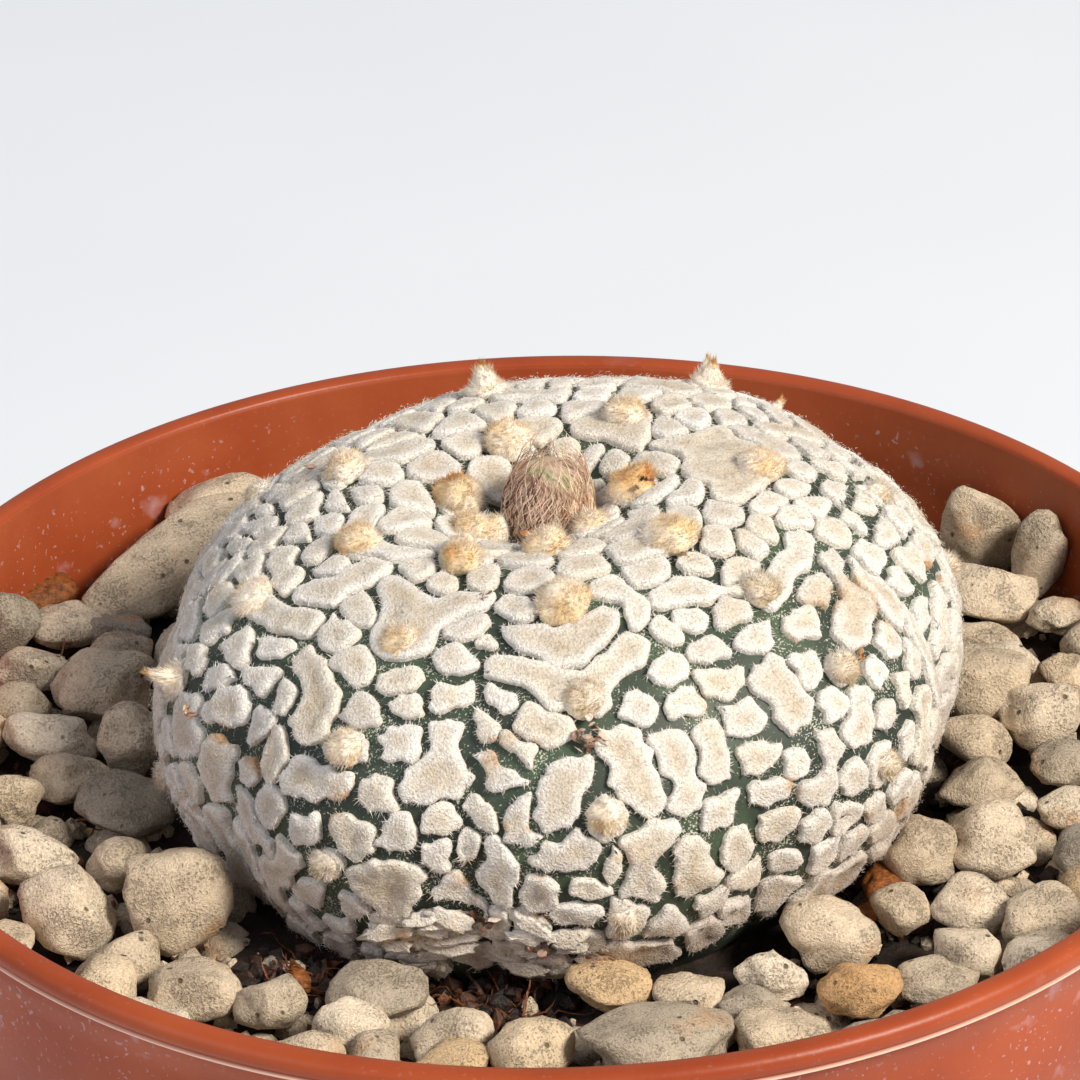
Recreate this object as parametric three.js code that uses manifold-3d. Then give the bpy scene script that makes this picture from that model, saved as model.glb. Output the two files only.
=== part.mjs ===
// A star cactus in a plastic nursery pot, top-dressed with pumice.
// Millimetres, +Z up. The origin is at the middle of the pot's foot, on the surface it stands on.
import * as THREE from 'three';
import { ConvexGeometry } from 'three/addons/geometries/ConvexGeometry.js';
import { ConvexHull } from 'three/addons/math/ConvexHull.js';
import { mergeVertices } from 'three/addons/utils/BufferGeometryUtils.js';
import Module from 'manifold-3d';

// Pot
const rimRadius = 42.5;
const potHeight = 66;
const footRadius = 30;
const footRingWidth = 3;
const wall = 1.1;
const collarHeight = 12;
const collarStep = 1.3;
const beadRadius = 0.75;
const floorLift = 1.8;
const floorThickness = 1.4;
const drainHoleRadius = 3;
const drainCircleRadius = 19;
const potSides = 40;

// Filling
const gap = 0.3;
const soilTop = potHeight - 9.6;
const gravelBedTop = potHeight - 7.4;
const stoneSink = 0.31;
const stoneCorners = 8;

// The main stones of the top layer: x, y, the length across, the height, and for a long, narrow
// stone the way it points, in degrees
const mainStones = [
  [-24.5, 25.5, 12.5, 6, 40], [-18.5, 31.5, 7, 4.5], [-33.5, 18.5, 4.5, 4], [-31, 18.5, 4.9, 2.4],
  [-25.2, 19.5, 4, 2.6], [-33, 15, 4.5, 2.8], [-28, 11.5, 6.6, 4], [-33.5, 9.5, 4.3, 2.4],
  [-31, 5.8, 5.9, 2.8], [-25.8, 4, 4.6, 4.6], [-29, 0.7, 5, 2.8], [-26.2, -2, 6.1, 2.9],
  [-33, -1.7, 3.8, 3.4], [-31.8, -9, 6.2, 4], [-29, -15.5, 6, 5.6], [-26.3, -9.8, 3.7, 3.6],
  [-22.3, -14.8, 6.4, 6], [-21.5, -22.6, 5.6, 3.2], [-16.5, -24.8, 4.3, 3.1], [-10, -23.8, 6, 2.9],
  [-12.5, -26.6, 4.4, 2.8], [-6.5, -27.3, 4.9, 2.6], [-6.4, -31, 5.2, 2.2], [2.8, -23.8, 5.1, 2.6],
  [5.5, -29.4, 9.2, 4.2], [7, -24.4, 4.2, 2.2], [11.3, -25.4, 3.9, 2], [12.8, -29, 5.8, 2.8],
  [13.6, -22, 4.5, 2.8], [16.7, -18.9, 5.9, 3.4], [17.8, -23.6, 5, 3], [24.6, -16.7, 4.8, 3.6],
  [28, -18, 5.2, 3.8], [26.3, -10.3, 5.5, 4.4], [22.4, -10, 4.8, 3.6], [21.8, -25.5, 5, 2.2],
  [31, -10.5, 4.6, 3.6], [27.2, 27.2, 5.2, 4.4], [30.6, 23.6, 3.8, 4.4], [27.6, 21, 6.9, 3],
  [32.2, 17.8, 3.9, 2.2], [27.4, 15.8, 4.4, 2.2], [27.4, 7.8, 5.4, 5.2], [31, 4.6, 5.1, 3.8],
  [32.4, 9.8, 4, 3], [31.6, 0, 4.5, 2.3], [26, -2.2, 5.3, 2.8], [31.2, -5, 4, 2],
];
// Where they leave room, smaller ones lie
const fillerTries = 2000;
const largestFiller = 6.5;
const smallestFiller = 4;
const settleRounds = 40;

// Cactus: a flattened globe, leaning a little, with its equator just above the rim
const bodyRadius = 24.3;
const crownHeight = 12.9;
const undersideDepth = 15.4;
const squareness = 2.7;
const dimpleDepth = 3.9;
const dimpleWidth = 6;
const bodyCentre = new THREE.Vector3(0.35, 0, potHeight + 1.2);
const leanDegrees = -6;
const rootRadius = 6;
const rootTipRadius = 1.6;
const rootDepth = 34;

// Ribs, anticlockwise from the front: the azimuth in degrees of each rib's crest at the crown and
// low on its side, and the arc lengths from the apex of its first areole and from one to the next
const ribs = [
  { crown: -83, low: -82.5, first: 6.9, pitch: 6.8 },
  { crown: -44, low: -38.5, first: 5.1, pitch: 6.5 },
  { crown: -3, low: 10, first: 6.7, pitch: 7.6 },
  { crown: 52, low: 56, first: 10.3, pitch: 9.2 },
  { crown: 102, low: 100, first: 7.6, pitch: 7.6 },
  { crown: 160, low: 147, first: 5.5, pitch: 7.5 },
  { crown: 205, low: 192, first: 4.6, pitch: 7.0 },
  { crown: 244, low: 235.5, first: 9.4, pitch: 7.05 },
];
const ribBottom = 32;
const ribGroove = 0.05;

// Flecks: felted scales in rows across each rib, every row bent up towards the rib's two edges
const firstRow = 4.3;
const rowPitch = 2.95;
const fleckPitch = 3.2;
const rowRise = 1.9;
const fleckHeight = 0.42;
const fleckPillow = 0.16;
const fleckJitter = 0.42;
const fleckTwist = 0.16;
const joinSideways = 0.13;
const joinDownwards = 0.1;
const fleckedArc = 40;
const chevronArc = 19;

// The front rib's own flecks, from its two chevrons down: each is a chain of cells, placed by how
// far across the rib they are, from -1 to 1, and by their arc length from the apex
const frontFlecks = [
  [[-0.68, 13.9]], [[0.61, 13.5], [0.75, 15.8]], [[-0.95, 16.2]], [[0.95, 17.8]],
  [[-0.73, 15.5], [-0.34, 16.2], [-0.04, 17.4], [0.24, 16], [0.49, 15.3]],
  [[-0.8, 17.8], [-0.49, 18.5], [-0.21, 19.7], [-0.01, 20.6], [0.26, 19], [0.57, 18.1]],
  [[-0.75, 20.2]], [[-0.5, 21.6], [-0.27, 22.3]], [[-0.91, 21.8]], [[-0.61, 23]],
  [[-0.83, 23.9], [-0.73, 25]], [[-0.2, 24.2], [-0.28, 25.6], [-0.37, 26.9]],
  [[0.19, 23.7], [0.22, 25.5], [0.27, 27]], [[0.42, 21.6]], [[0.73, 22.4]], [[0.73, 20]],
  [[0.58, 24.3], [0.56, 26], [0.53, 27.8]], [[0.8, 25], [0.79, 26.5]],
  [[-0.65, 26.3], [-0.6, 28.1]], [[-0.88, 26.8]], [[-0.98, 29]], [[-0.77, 29.4], [-0.78, 30.7]],
  [[-0.43, 29.5], [-0.27, 28.9], [-0.2, 29.8]], [[-0.03, 30.4]],
  [[0.31, 29], [0.16, 30.1], [0.18, 31.7]], [[0.48, 30.6], [0.45, 31.9], [0.56, 32.8]],
  [[0.68, 29.1]], [[-0.5, 31.3]], [[-0.22, 31.3]],
];

// What lies round the cactus keeps clear of its flecks
const bodyClearance = fleckHeight + fleckPillow + gap + 0.1;

// Areoles: woolly tufts on the ribs' crests
const tuftRadius = 1.6;
const tuftHeight = 2.05;

// Flower bud in the crown
const budRadius = 2.95;
const budHeight = 5.4;
const budStrands = 13;
const strandSteps = 3;

const up = new THREE.Vector3(0, 0, 1);
const turn = new THREE.Quaternion().setFromAxisAngle(
  new THREE.Vector3(0, 1, 0), THREE.MathUtils.degToRad(leanDegrees));

// A Park-Miller generator, so every build draws the same numbers
function seeded(seed) {
  let state = seed;
  return () => {
    state = (state * 48271) % 2147483647;
    return state / 2147483647;
  };
}

// ---- Solids ----

const wasm = await Module();
wasm.setup();

function toSolid(geometry) {
  const bare = geometry.clone();
  bare.deleteAttribute('normal');
  bare.deleteAttribute('uv');
  const merged = mergeVertices(bare, 1e-4);
  return new wasm.Manifold(new wasm.Mesh({
    numProp: 3,
    vertProperties: new Float32Array(merged.attributes.position.array),
    triVerts: new Uint32Array(merged.index.array),
  }));
}

function toGeometry(solid) {
  const mesh = solid.getMesh();
  const geometry = new THREE.BufferGeometry();
  geometry.setAttribute('position', new THREE.BufferAttribute(mesh.vertProperties, 3));
  geometry.setIndex(new THREE.BufferAttribute(mesh.triVerts, 1));
  return geometry;
}

// The main body of a solid: what a cut has left loose is dropped, and a sealed hollow is filled
function mainBody(solid) {
  return solid.decompose().reduce((a, b) => (a.volume() > b.volume() ? a : b));
}

function join(geometries) {
  return geometries.map(toSolid).reduce((sum, solid) => sum.add(solid));
}

// A closed lathe turned about +Z, from a profile of [radius, height] points
function turned(profile, sides) {
  const points = profile.map(([radius, height]) => new THREE.Vector2(radius, height));
  const geometry = new THREE.LatheGeometry(points, sides);
  geometry.rotateX(Math.PI / 2);
  return geometry;
}

// ---- The cactus's surface ----

// The meridian: angle 0 is the apex, PI the middle of the underside
function meridian(angle) {
  const radius = bodyRadius * Math.pow(Math.sin(angle), 2 / squareness);
  const reach = angle < Math.PI / 2 ? crownHeight : undersideDepth;
  const dimple = angle < Math.PI / 2 ? dimpleDepth * Math.exp(-((radius / dimpleWidth) ** 2)) : 0;
  return [radius, reach * Math.cos(angle) - dimple];
}

const arcSteps = 2000;
const arcTable = [0];
for (let i = 1; i <= arcSteps; i += 1) {
  const [r0, z0] = meridian((Math.PI * (i - 1)) / arcSteps);
  const [r1, z1] = meridian((Math.PI * Math.min(i, arcSteps - 1e-6)) / arcSteps);
  arcTable.push(arcTable[i - 1] + Math.hypot(r1 - r0, z1 - z0));
}
const arcTotal = arcTable[arcSteps];

function angleAt(arc) {
  const wanted = Math.min(Math.max(arc, 0), arcTotal);
  let low = 0;
  let high = arcSteps;
  while (high - low > 1) {
    const middle = (low + high) >> 1;
    if (arcTable[middle] <= wanted) low = middle;
    else high = middle;
  }
  const part = (wanted - arcTable[low]) / (arcTable[high] - arcTable[low]);
  return (Math.PI * (low + part)) / arcSteps;
}

function crest(rib, arc) {
  const part = Math.min(Math.max(arc / ribBottom, 0), 1);
  return THREE.MathUtils.degToRad(rib.crown + (rib.low - rib.crown) * part);
}

// Where a rib lies at an arc length: its crest, and its two edges halfway to its neighbours' crests
function ribSpan(index, arc) {
  const count = ribs.length;
  const middle = crest(ribs[index], arc);
  const before = crest(ribs[(index + count - 1) % count], arc) - (index === 0 ? 2 * Math.PI : 0);
  const after = crest(ribs[(index + 1) % count], arc) + (index === count - 1 ? 2 * Math.PI : 0);
  return [(before + middle) / 2, middle, (middle + after) / 2];
}

// How far an azimuth is across its rib: 0 on the crest, 1 on the edge
function across(azimuth, arc) {
  const full = 2 * Math.PI;
  for (let index = 0; index < ribs.length; index += 1) {
    const [left, middle, right] = ribSpan(index, arc);
    const place = left + ((((azimuth - left) % full) + full) % full);
    if (place <= right) {
      return place < middle ? (middle - place) / (middle - left) : (place - middle) / (right - middle);
    }
  }
  return 1;
}

function smoothPoint(azimuth, arc) {
  const angle = Math.min(angleAt(arc), Math.PI - 1e-6);
  const [radius, height] = meridian(angle);
  const shrunk = radius * (1 - ribGroove * Math.pow(across(azimuth, arc), 2.5) * Math.sin(angle));
  return new THREE.Vector3(shrunk * Math.cos(azimuth), shrunk * Math.sin(azimuth), height);
}

// The outward normal of the turned surface, without the ribs
function outward(azimuth, arc) {
  const [r0, z0] = meridian(angleAt(arc - 0.2));
  const [r1, z1] = meridian(Math.min(angleAt(arc + 0.2), Math.PI - 1e-6));
  const slope = arc < 0.2 || arc > arcTotal - 0.2 ? 0 : z0 - z1;
  const level = arc < 0.2 ? 1 : arc > arcTotal - 0.2 ? -1 : r1 - r0;
  return new THREE.Vector3(slope * Math.cos(azimuth), slope * Math.sin(azimuth), level).normalize();
}

function onBody(azimuth, arc, lift = 0) {
  return smoothPoint(azimuth, arc).addScaledVector(outward(azimuth, arc), lift);
}

function place(geometry) {
  geometry.applyQuaternion(turn);
  geometry.translate(...bodyCentre);
  return geometry;
}

// ---- Fleck layout ----

// Cells are laid out as seeds by azimuth and arc length. Cells of one group make one fleck, and
// group 0 is bare skin: under the bud, and on the underside.
const skin = 0;
const areoles = [];

function layOutCells() {
  const random = seeded(11);
  const spread = (size) => (random() * 2 - 1) * size;
  const cells = [{ azimuth: 0, arc: 0, group: skin }];
  const addSkinRing = (arc, count) => {
    for (let i = 0; i < count; i += 1) {
      const azimuth = (2 * Math.PI * (i + 0.25 + spread(0.12))) / count;
      cells.push({ azimuth, arc: arc + spread(0.2), group: skin });
    }
  };
  addSkinRing(2, 6);

  ribs.forEach((rib, index) => {
    const ribCells = [];
    const onRib = (side, arc) => {
      const [left, middle, right] = ribSpan(index, arc);
      return side < 0 ? middle + side * (middle - left) : middle + side * (right - middle);
    };
    const apart = (a, b) => onBody(a.azimuth, a.arc).distanceTo(onBody(b.azimuth, b.arc));
    const addCell = (side, arc, row) => {
      const cell = { azimuth: onRib(side, arc), arc, side, row, group: cells.length };
      cells.push(cell);
      ribCells.push(cell);
      return cell;
    };
    const groupWith = (cell, other) => {
      const old = other.group;
      ribCells.forEach((each) => {
        if (each.group === old) each.group = cell.group;
      });
    };

    for (let arc = rib.first; arc < fleckedArc - 5; arc += rib.pitch) {
      const cell = addCell(0, arc, -1);
      areoles.push({ azimuth: cell.azimuth, arc });
    }
    const crestCells = [...ribCells];
    (index === 0 ? frontFlecks : []).forEach((chain) => {
      const links = chain.map(([side, arc]) => {
        const here = { azimuth: onRib(side, arc), arc };
        return crestCells.find((cell) => apart(cell, here) < 1) ?? addCell(side, arc, -1);
      });
      links.forEach((link) => groupWith(links[0], link));
    });
    const placedCells = [...ribCells];

    let rowCount = 0;
    for (let rowArc = firstRow; rowArc < fleckedArc; rowArc += rowPitch) {
      const [left, , right] = ribSpan(index, rowArc);
      const width = (right - left) * meridian(angleAt(rowArc))[0];
      const odd = rowCount % 2;
      const columns = Math.max(1, 2 * Math.round((width / fleckPitch - odd) / 2) + odd);
      const shifts = [];
      for (let column = 0; column < columns; column += 1) {
        shifts.push([spread(fleckJitter), spread(fleckJitter), spread(fleckTwist), spread(fleckTwist)]);
      }
      for (let column = 0; column < columns; column += 1) {
        const twin = Math.min(column, columns - 1 - column);
        const sign = column * 2 < columns - 1 ? -1 : 1;
        const middle = column * 2 === columns - 1;
        const sideways = middle ? shifts[column][2] : -sign * shifts[twin][0] + shifts[column][2];
        const side = ((2 * column + 1) / columns - 1) + (2 * sideways) / width;
        const rise = rowRise * Math.pow(Math.abs(side), 1.5) * Math.min(1, rowArc / 14);
        const arc = rowArc - rise + shifts[twin][1] + shifts[column][3];
        const trial = { azimuth: onRib(side, arc), arc };
        const blocked = placedCells.some((other) => apart(other, trial) < fleckPitch * 0.72);
        if (!blocked) addCell(side, arc, rowCount);
      }
      rowCount += 1;
    }

    // Chevrons: an areole's fleck takes in the cells that climb away from it on one or both sides
    crestCells.forEach((areole) => {
      const arms = areole.arc > chevronArc || index === 0 ? [] : [-1, 1].filter(() => random() < 0.8);
      arms.forEach((sign) => {
        let tip = areole;
        const links = random() < 0.6 ? 2 : 1;
        for (let link = 0; link < links; link += 1) {
          const outer = ribCells.filter((cell) => cell.row >= 0 && cell.side * sign > tip.side * sign + 0.1
            && cell.arc < tip.arc + 0.4 && apart(cell, tip) < fleckPitch * 1.45);
          if (outer.length === 0) break;
          const next = outer.reduce((a, b) => (apart(a, tip) < apart(b, tip) ? a : b));
          groupWith(areole, next);
          tip = next;
        }
      });
    });

    // Some neighbours have grown together, beside or below each other
    ribCells.forEach((cell) => {
      const draw = random();
      const reach = fleckPitch * 1.25;
      const others = ribCells.filter((other) => other !== cell && other.group !== cell.group
        && other.row >= 0 && cell.row >= 0 && apart(other, cell) < reach);
      const beside = others.filter((other) => other.row === cell.row && other.side > cell.side);
      const below = others.filter((other) => other.row > cell.row);
      if (draw < joinSideways && beside.length > 0) groupWith(cell, beside[0]);
      else if (draw > 1 - joinDownwards && below.length > 0) groupWith(cell, below[0]);
    });
  });

  addSkinRing(fleckedArc + 1.6, 26);
  addSkinRing(fleckedArc + 5.4, 18);
  addSkinRing(fleckedArc + 10.5, 12);
  addSkinRing(fleckedArc + 16.5, 7);
  cells.push({ azimuth: 0, arc: arcTotal, group: skin });
  return cells;
}

function onSphere({ azimuth, arc }) {
  const angle = (Math.PI * arc) / arcTotal;
  return new THREE.Vector3(
    Math.sin(angle) * Math.cos(azimuth), Math.sin(angle) * Math.sin(azimuth), Math.cos(angle));
}

function offSphere(direction) {
  const angle = Math.acos(Math.min(Math.max(direction.z, -1), 1));
  return { azimuth: Math.atan2(direction.y, direction.x), arc: (angle / Math.PI) * arcTotal };
}

// Triangles between neighbouring seeds: the convex hull of the seeds on a unit sphere
function neighbourTriangles(seeds) {
  const indexOf = new Map(seeds.map((seed, index) => [seed, index]));
  return new ConvexHull().setFromPoints(seeds).faces.map((face) => {
    const { edge } = face;
    return [edge, edge.next, edge.next.next].map((side) => indexOf.get(side.head().point));
  });
}

// The body's skin: every cell is a facetted patch, lifted and drawn in at its edges where it is a
// fleck, with walls down to the green skin in the groove between two flecks
function fleckedBody() {
  const cells = layOutCells();
  const seeds = cells.map(onSphere);
  const triangles = neighbourTriangles(seeds);
  const corners = triangles.map(([a, b, c]) => {
    const normal = new THREE.Triangle(seeds[a], seeds[b], seeds[c]).getNormal(new THREE.Vector3());
    return offSphere(normal);
  });
  const holding = new Map();
  triangles.forEach((triangle, index) => {
    triangle.forEach((seed, turnIndex) => holding.set(`${seed}>${triangle[(turnIndex + 1) % 3]}`, index));
  });

  const vertices = [];
  const known = new Map();
  const vertex = (name, make) => {
    if (!known.has(name)) {
      known.set(name, vertices.length);
      vertices.push(make());
    }
    return known.get(name);
  };
  const ground = (index) => {
    const { azimuth, arc } = corners[index];
    return vertex(`ground ${index}`, () => onBody(azimuth, arc));
  };
  const rim = (index, group) => {
    if (group === skin) return ground(index);
    return vertex(`rim ${index} ${group}`, () => {
      const corner = corners[index];
      const inside = triangles[index].filter((seed) => cells[seed].group === group);
      const point = onBody(corner.azimuth, corner.arc, fleckHeight);
      const centre = new THREE.Vector3();
      inside.forEach((seed) => centre.add(onBody(cells[seed].azimuth, cells[seed].arc, fleckHeight)));
      centre.divideScalar(inside.length).sub(point);
      const inset = 0.2 + 0.2 * THREE.MathUtils.smoothstep(corner.arc, 12, 26);
      return point.addScaledVector(centre.normalize(), inside.length === 3 ? 0 : inset);
    });
  };

  const faces = [];
  cells.forEach((cell, seed) => {
    const start = triangles.findIndex((triangle) => triangle.includes(seed));
    const ring = [];
    let index = start;
    do {
      const triangle = triangles[index];
      const third = triangle[(triangle.indexOf(seed) + 2) % 3];
      ring.push({ index, third });
      index = holding.get(`${seed}>${third}`);
    } while (index !== start);

    const lift = cell.group === skin ? 0 : fleckHeight + fleckPillow;
    const centre = vertex(`centre ${seed}`, () => onBody(cell.azimuth, cell.arc, lift));
    ring.forEach(({ index: here, third }, step) => {
      const next = ring[(step + 1) % ring.length].index;
      const a = rim(here, cell.group);
      const b = rim(next, cell.group);
      faces.push(centre, a, b);
      if (cell.group !== skin && cells[third].group !== cell.group) {
        faces.push(b, a, ground(here), b, ground(here), ground(next));
      }
    });
  });

  const geometry = new THREE.BufferGeometry();
  const numbers = vertices.flatMap((point) => point.toArray());
  geometry.setAttribute('position', new THREE.Float32BufferAttribute(numbers, 3));
  geometry.setIndex(faces);
  return geometry;
}

// ---- Cactus ----

// A tuft of wool: a knob whose every upper facet is drawn out to a point
function tuft({ azimuth, arc }, random) {
  const base = new THREE.IcosahedronGeometry(0.72, 0).attributes.position;
  const points = [];
  for (let i = 0; i < base.count; i += 3) {
    const [a, b, c] = [0, 1, 2].map((corner) => new THREE.Vector3().fromBufferAttribute(base, i + corner));
    const middle = new THREE.Vector3().add(a).add(b).add(c).normalize();
    if (middle.z < -0.2) {
      points.push(a, b, c);
    } else {
      const tip = middle.multiplyScalar(0.92 + 0.3 * random());
      points.push(a, b, tip, b, c, tip, c, a, tip);
    }
  }
  const geometry = new THREE.BufferGeometry().setFromPoints(points);
  const age = Math.min(arc / ribBottom, 1);
  const width = tuftRadius * (1.05 - 0.3 * age);
  geometry.scale(width, width, tuftHeight * (0.85 + 0.4 * random()));
  geometry.rotateZ(2 * Math.PI * random());
  const axis = outward(azimuth, arc);
  const foot = onBody(azimuth, arc, 0.25);
  geometry.applyQuaternion(new THREE.Quaternion().setFromUnitVectors(up, axis));
  geometry.translate(...foot);
  return geometry;
}

function taproot() {
  const middle = (undersideDepth - 3 + rootDepth) / 2;
  const geometry = new THREE.CylinderGeometry(
    rootRadius, rootTipRadius, rootDepth - undersideDepth + 3, 12, 1);
  geometry.rotateX(Math.PI / 2);
  geometry.translate(0, 0, -middle);
  return geometry;
}

const apexHeight = crownHeight - dimpleDepth;

// The bud's width over its height, from its foot at 0 to its top at 1, as a share of its widest
function budRoundness(part) {
  return Math.pow(Math.sin(Math.PI * (0.2 + 0.8 * part)), 0.55);
}

function budProfile(grow) {
  const points = [];
  const steps = 6;
  for (let i = 0; i <= steps; i += 1) {
    const part = i / steps;
    const height = gap - grow + (budHeight + 2 * grow) * part;
    const radius = (budRadius + grow) * budRoundness(part);
    points.push([part === 1 ? 0 : radius, apexHeight + height]);
  }
  return [[0, apexHeight + gap - grow], ...points];
}

function cactusBody() {
  const random = seeded(29);
  const pieces = [fleckedBody(), taproot(), ...areoles.map((areole) => tuft(areole, random))];
  const socket = toSolid(turned(budProfile(gap + 0.15), 16));
  return place(toGeometry(mainBody(join(pieces).subtract(socket))));
}

// The bud: a green core wound about with three-sided strands of brown hair, loose ones at the top
function flowerBud() {
  const random = seeded(5);
  const pieces = [turned(budProfile(-0.35), 10)];
  const section = new THREE.Shape();
  section.moveTo(0.26, 0);
  section.lineTo(-0.16, 0.22);
  section.lineTo(-0.16, -0.22);
  section.closePath();
  for (let i = 0; i < budStrands; i += 1) {
    const loose = i % 5 === 0;
    const begin = (2 * Math.PI * (i + 0.3 * random())) / budStrands;
    const sweep = (loose ? -0.7 : 1) * (0.8 + 0.25 * random());
    const reach = loose ? 1.04 : 0.93;
    const points = [];
    for (let step = 0; step <= strandSteps; step += 1) {
      const part = 0.04 + (reach - 0.04) * (step / strandSteps);
      const radius = (budRadius - 0.3) * budRoundness(Math.min(part, 0.95));
      const angle = begin + sweep * part;
      const height = apexHeight + gap + 0.3 + (budHeight - 0.55) * part;
      points.push(new THREE.Vector3(radius * Math.cos(angle), radius * Math.sin(angle), height));
    }
    const path = new THREE.CatmullRomCurve3(points);
    const along = { steps: strandSteps, bevelEnabled: false, extrudePath: path };
    pieces.push(new THREE.ExtrudeGeometry(section, along));
  }
  return place(toGeometry(mainBody(join(pieces))));
}

// The cactus's smooth envelope, grown by a clearance, that the filling stays out of
function envelope(clearance) {
  const profile = [];
  const steps = 22;
  for (let i = steps; i >= 0; i -= 1) {
    const arc = (arcTotal * i) / steps;
    const point = smoothPoint(0, arc);
    const normal = outward(0, arc);
    const radius = Math.max(meridian(Math.min(angleAt(arc), Math.PI - 1e-6))[0] + clearance * normal.x, 0);
    profile.push([i === 0 || i === steps ? 0 : radius, point.z + clearance * normal.z]);
  }
  const bodySolid = toSolid(turned(profile, 28));
  const root = new THREE.CylinderGeometry(
    rootRadius + clearance, rootTipRadius + clearance, rootDepth - undersideDepth + 5, 16, 1);
  root.rotateX(Math.PI / 2);
  root.translate(0, 0, -(undersideDepth + rootDepth - 4) / 2 - clearance / 2);
  return toSolid(place(toGeometry(bodySolid.add(toSolid(root)))));
}

// ---- Pot and filling ----

const collarFoot = potHeight - collarHeight;
const collarRadius = rimRadius - beadRadius * 1.6;

// The pot's inner wall at a height, between its floor and its rim
function innerRadius(height) {
  if (height > collarFoot + 0.6) {
    return collarRadius - wall + 0.7 * ((height - collarFoot) / collarHeight);
  }
  const shoulder = collarRadius - collarStep - wall;
  const part = (height - floorLift) / (collarFoot - 0.2 - floorLift);
  return footRadius - wall + 0.4 + (shoulder - footRadius + wall - 0.4) * part;
}

function pot() {
  const floorTop = floorLift + floorThickness;
  const profile = [[0, floorLift], [footRadius - footRingWidth, floorLift]];
  profile.push([footRadius - footRingWidth + 0.4, 0]);
  profile.push([footRadius - 0.3, 0]);
  profile.push([footRadius, 0.4]);
  profile.push([collarRadius - collarStep, collarFoot - 0.9]);
  profile.push([collarRadius, collarFoot]);
  profile.push([collarRadius + 0.5, potHeight - 2 * beadRadius - 0.1]);
  for (let i = 0; i <= 3; i += 1) {
    const angle = -Math.PI / 2.6 + (Math.PI / 2 + Math.PI / 2.6) * (i / 3);
    profile.push([
      rimRadius - beadRadius + beadRadius * Math.cos(angle),
      potHeight - beadRadius + beadRadius * Math.sin(angle),
    ]);
  }
  profile.push([innerRadius(potHeight) + 0.25, potHeight]);
  profile.push([innerRadius(potHeight), potHeight - 0.3]);
  profile.push([innerRadius(collarFoot + 0.7), collarFoot + 0.7]);
  profile.push([innerRadius(collarFoot - 0.2), collarFoot - 0.2]);
  profile.push([innerRadius(floorTop + 1.2), floorTop + 1.2]);
  profile.push([innerRadius(floorTop) - 1.2, floorTop]);
  profile.push([0, floorTop]);
  const shell = toSolid(turned(profile, potSides));

  const drill = () => {
    const hole = new THREE.CylinderGeometry(drainHoleRadius, drainHoleRadius, 4 * floorThickness, 10);
    hole.rotateX(Math.PI / 2);
    hole.translate(0, 0, floorLift + floorThickness / 2);
    return hole;
  };
  const holes = [drill()];
  for (let i = 0; i < 6; i += 1) {
    holes.push(drill().translate(drainCircleRadius, 0, 0).rotateZ((Math.PI * i) / 3));
  }
  return toGeometry(holes.reduce((solid, hole) => solid.subtract(toSolid(hole)), shell));
}

function soil() {
  const bottom = floorLift + floorThickness + gap;
  const clear = gap + 0.1;
  const profile = [
    [0, bottom],
    [innerRadius(bottom) - 1.5 - clear, bottom],
    [innerRadius(bottom + 1.5) - clear, bottom + 1.5],
    [innerRadius(collarFoot - 0.2) - clear, collarFoot + 0.3],
    [innerRadius(collarFoot + 0.7) - clear, collarFoot + 1.3],
    [innerRadius(soilTop) - clear, soilTop],
    [0, soilTop],
  ];
  return toGeometry(toSolid(turned(profile, 30)).subtract(envelope(bodyClearance)));
}

// A pumice stone: the hull of points scattered over a ball, flattened and tilted
function stone({ across, wide, tall, turn: way }, random) {
  const points = [];
  for (let i = 0; i < stoneCorners; i += 1) {
    const height = -1 + (2 * (i + 0.5)) / stoneCorners;
    const angle = 2.4 * i + 0.9 * random();
    const ring = Math.sqrt(1 - height * height);
    const reach = 0.52 + 0.08 * random();
    const point = new THREE.Vector3(ring * Math.cos(angle), ring * Math.sin(angle), height);
    points.push(point.multiplyScalar(reach));
  }
  const geometry = new ConvexGeometry(points);
  geometry.scale(across, wide, tall * 1.1);
  geometry.rotateX(0.4 * (random() - 0.5));
  geometry.rotateZ(way);
  return geometry;
}

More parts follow.
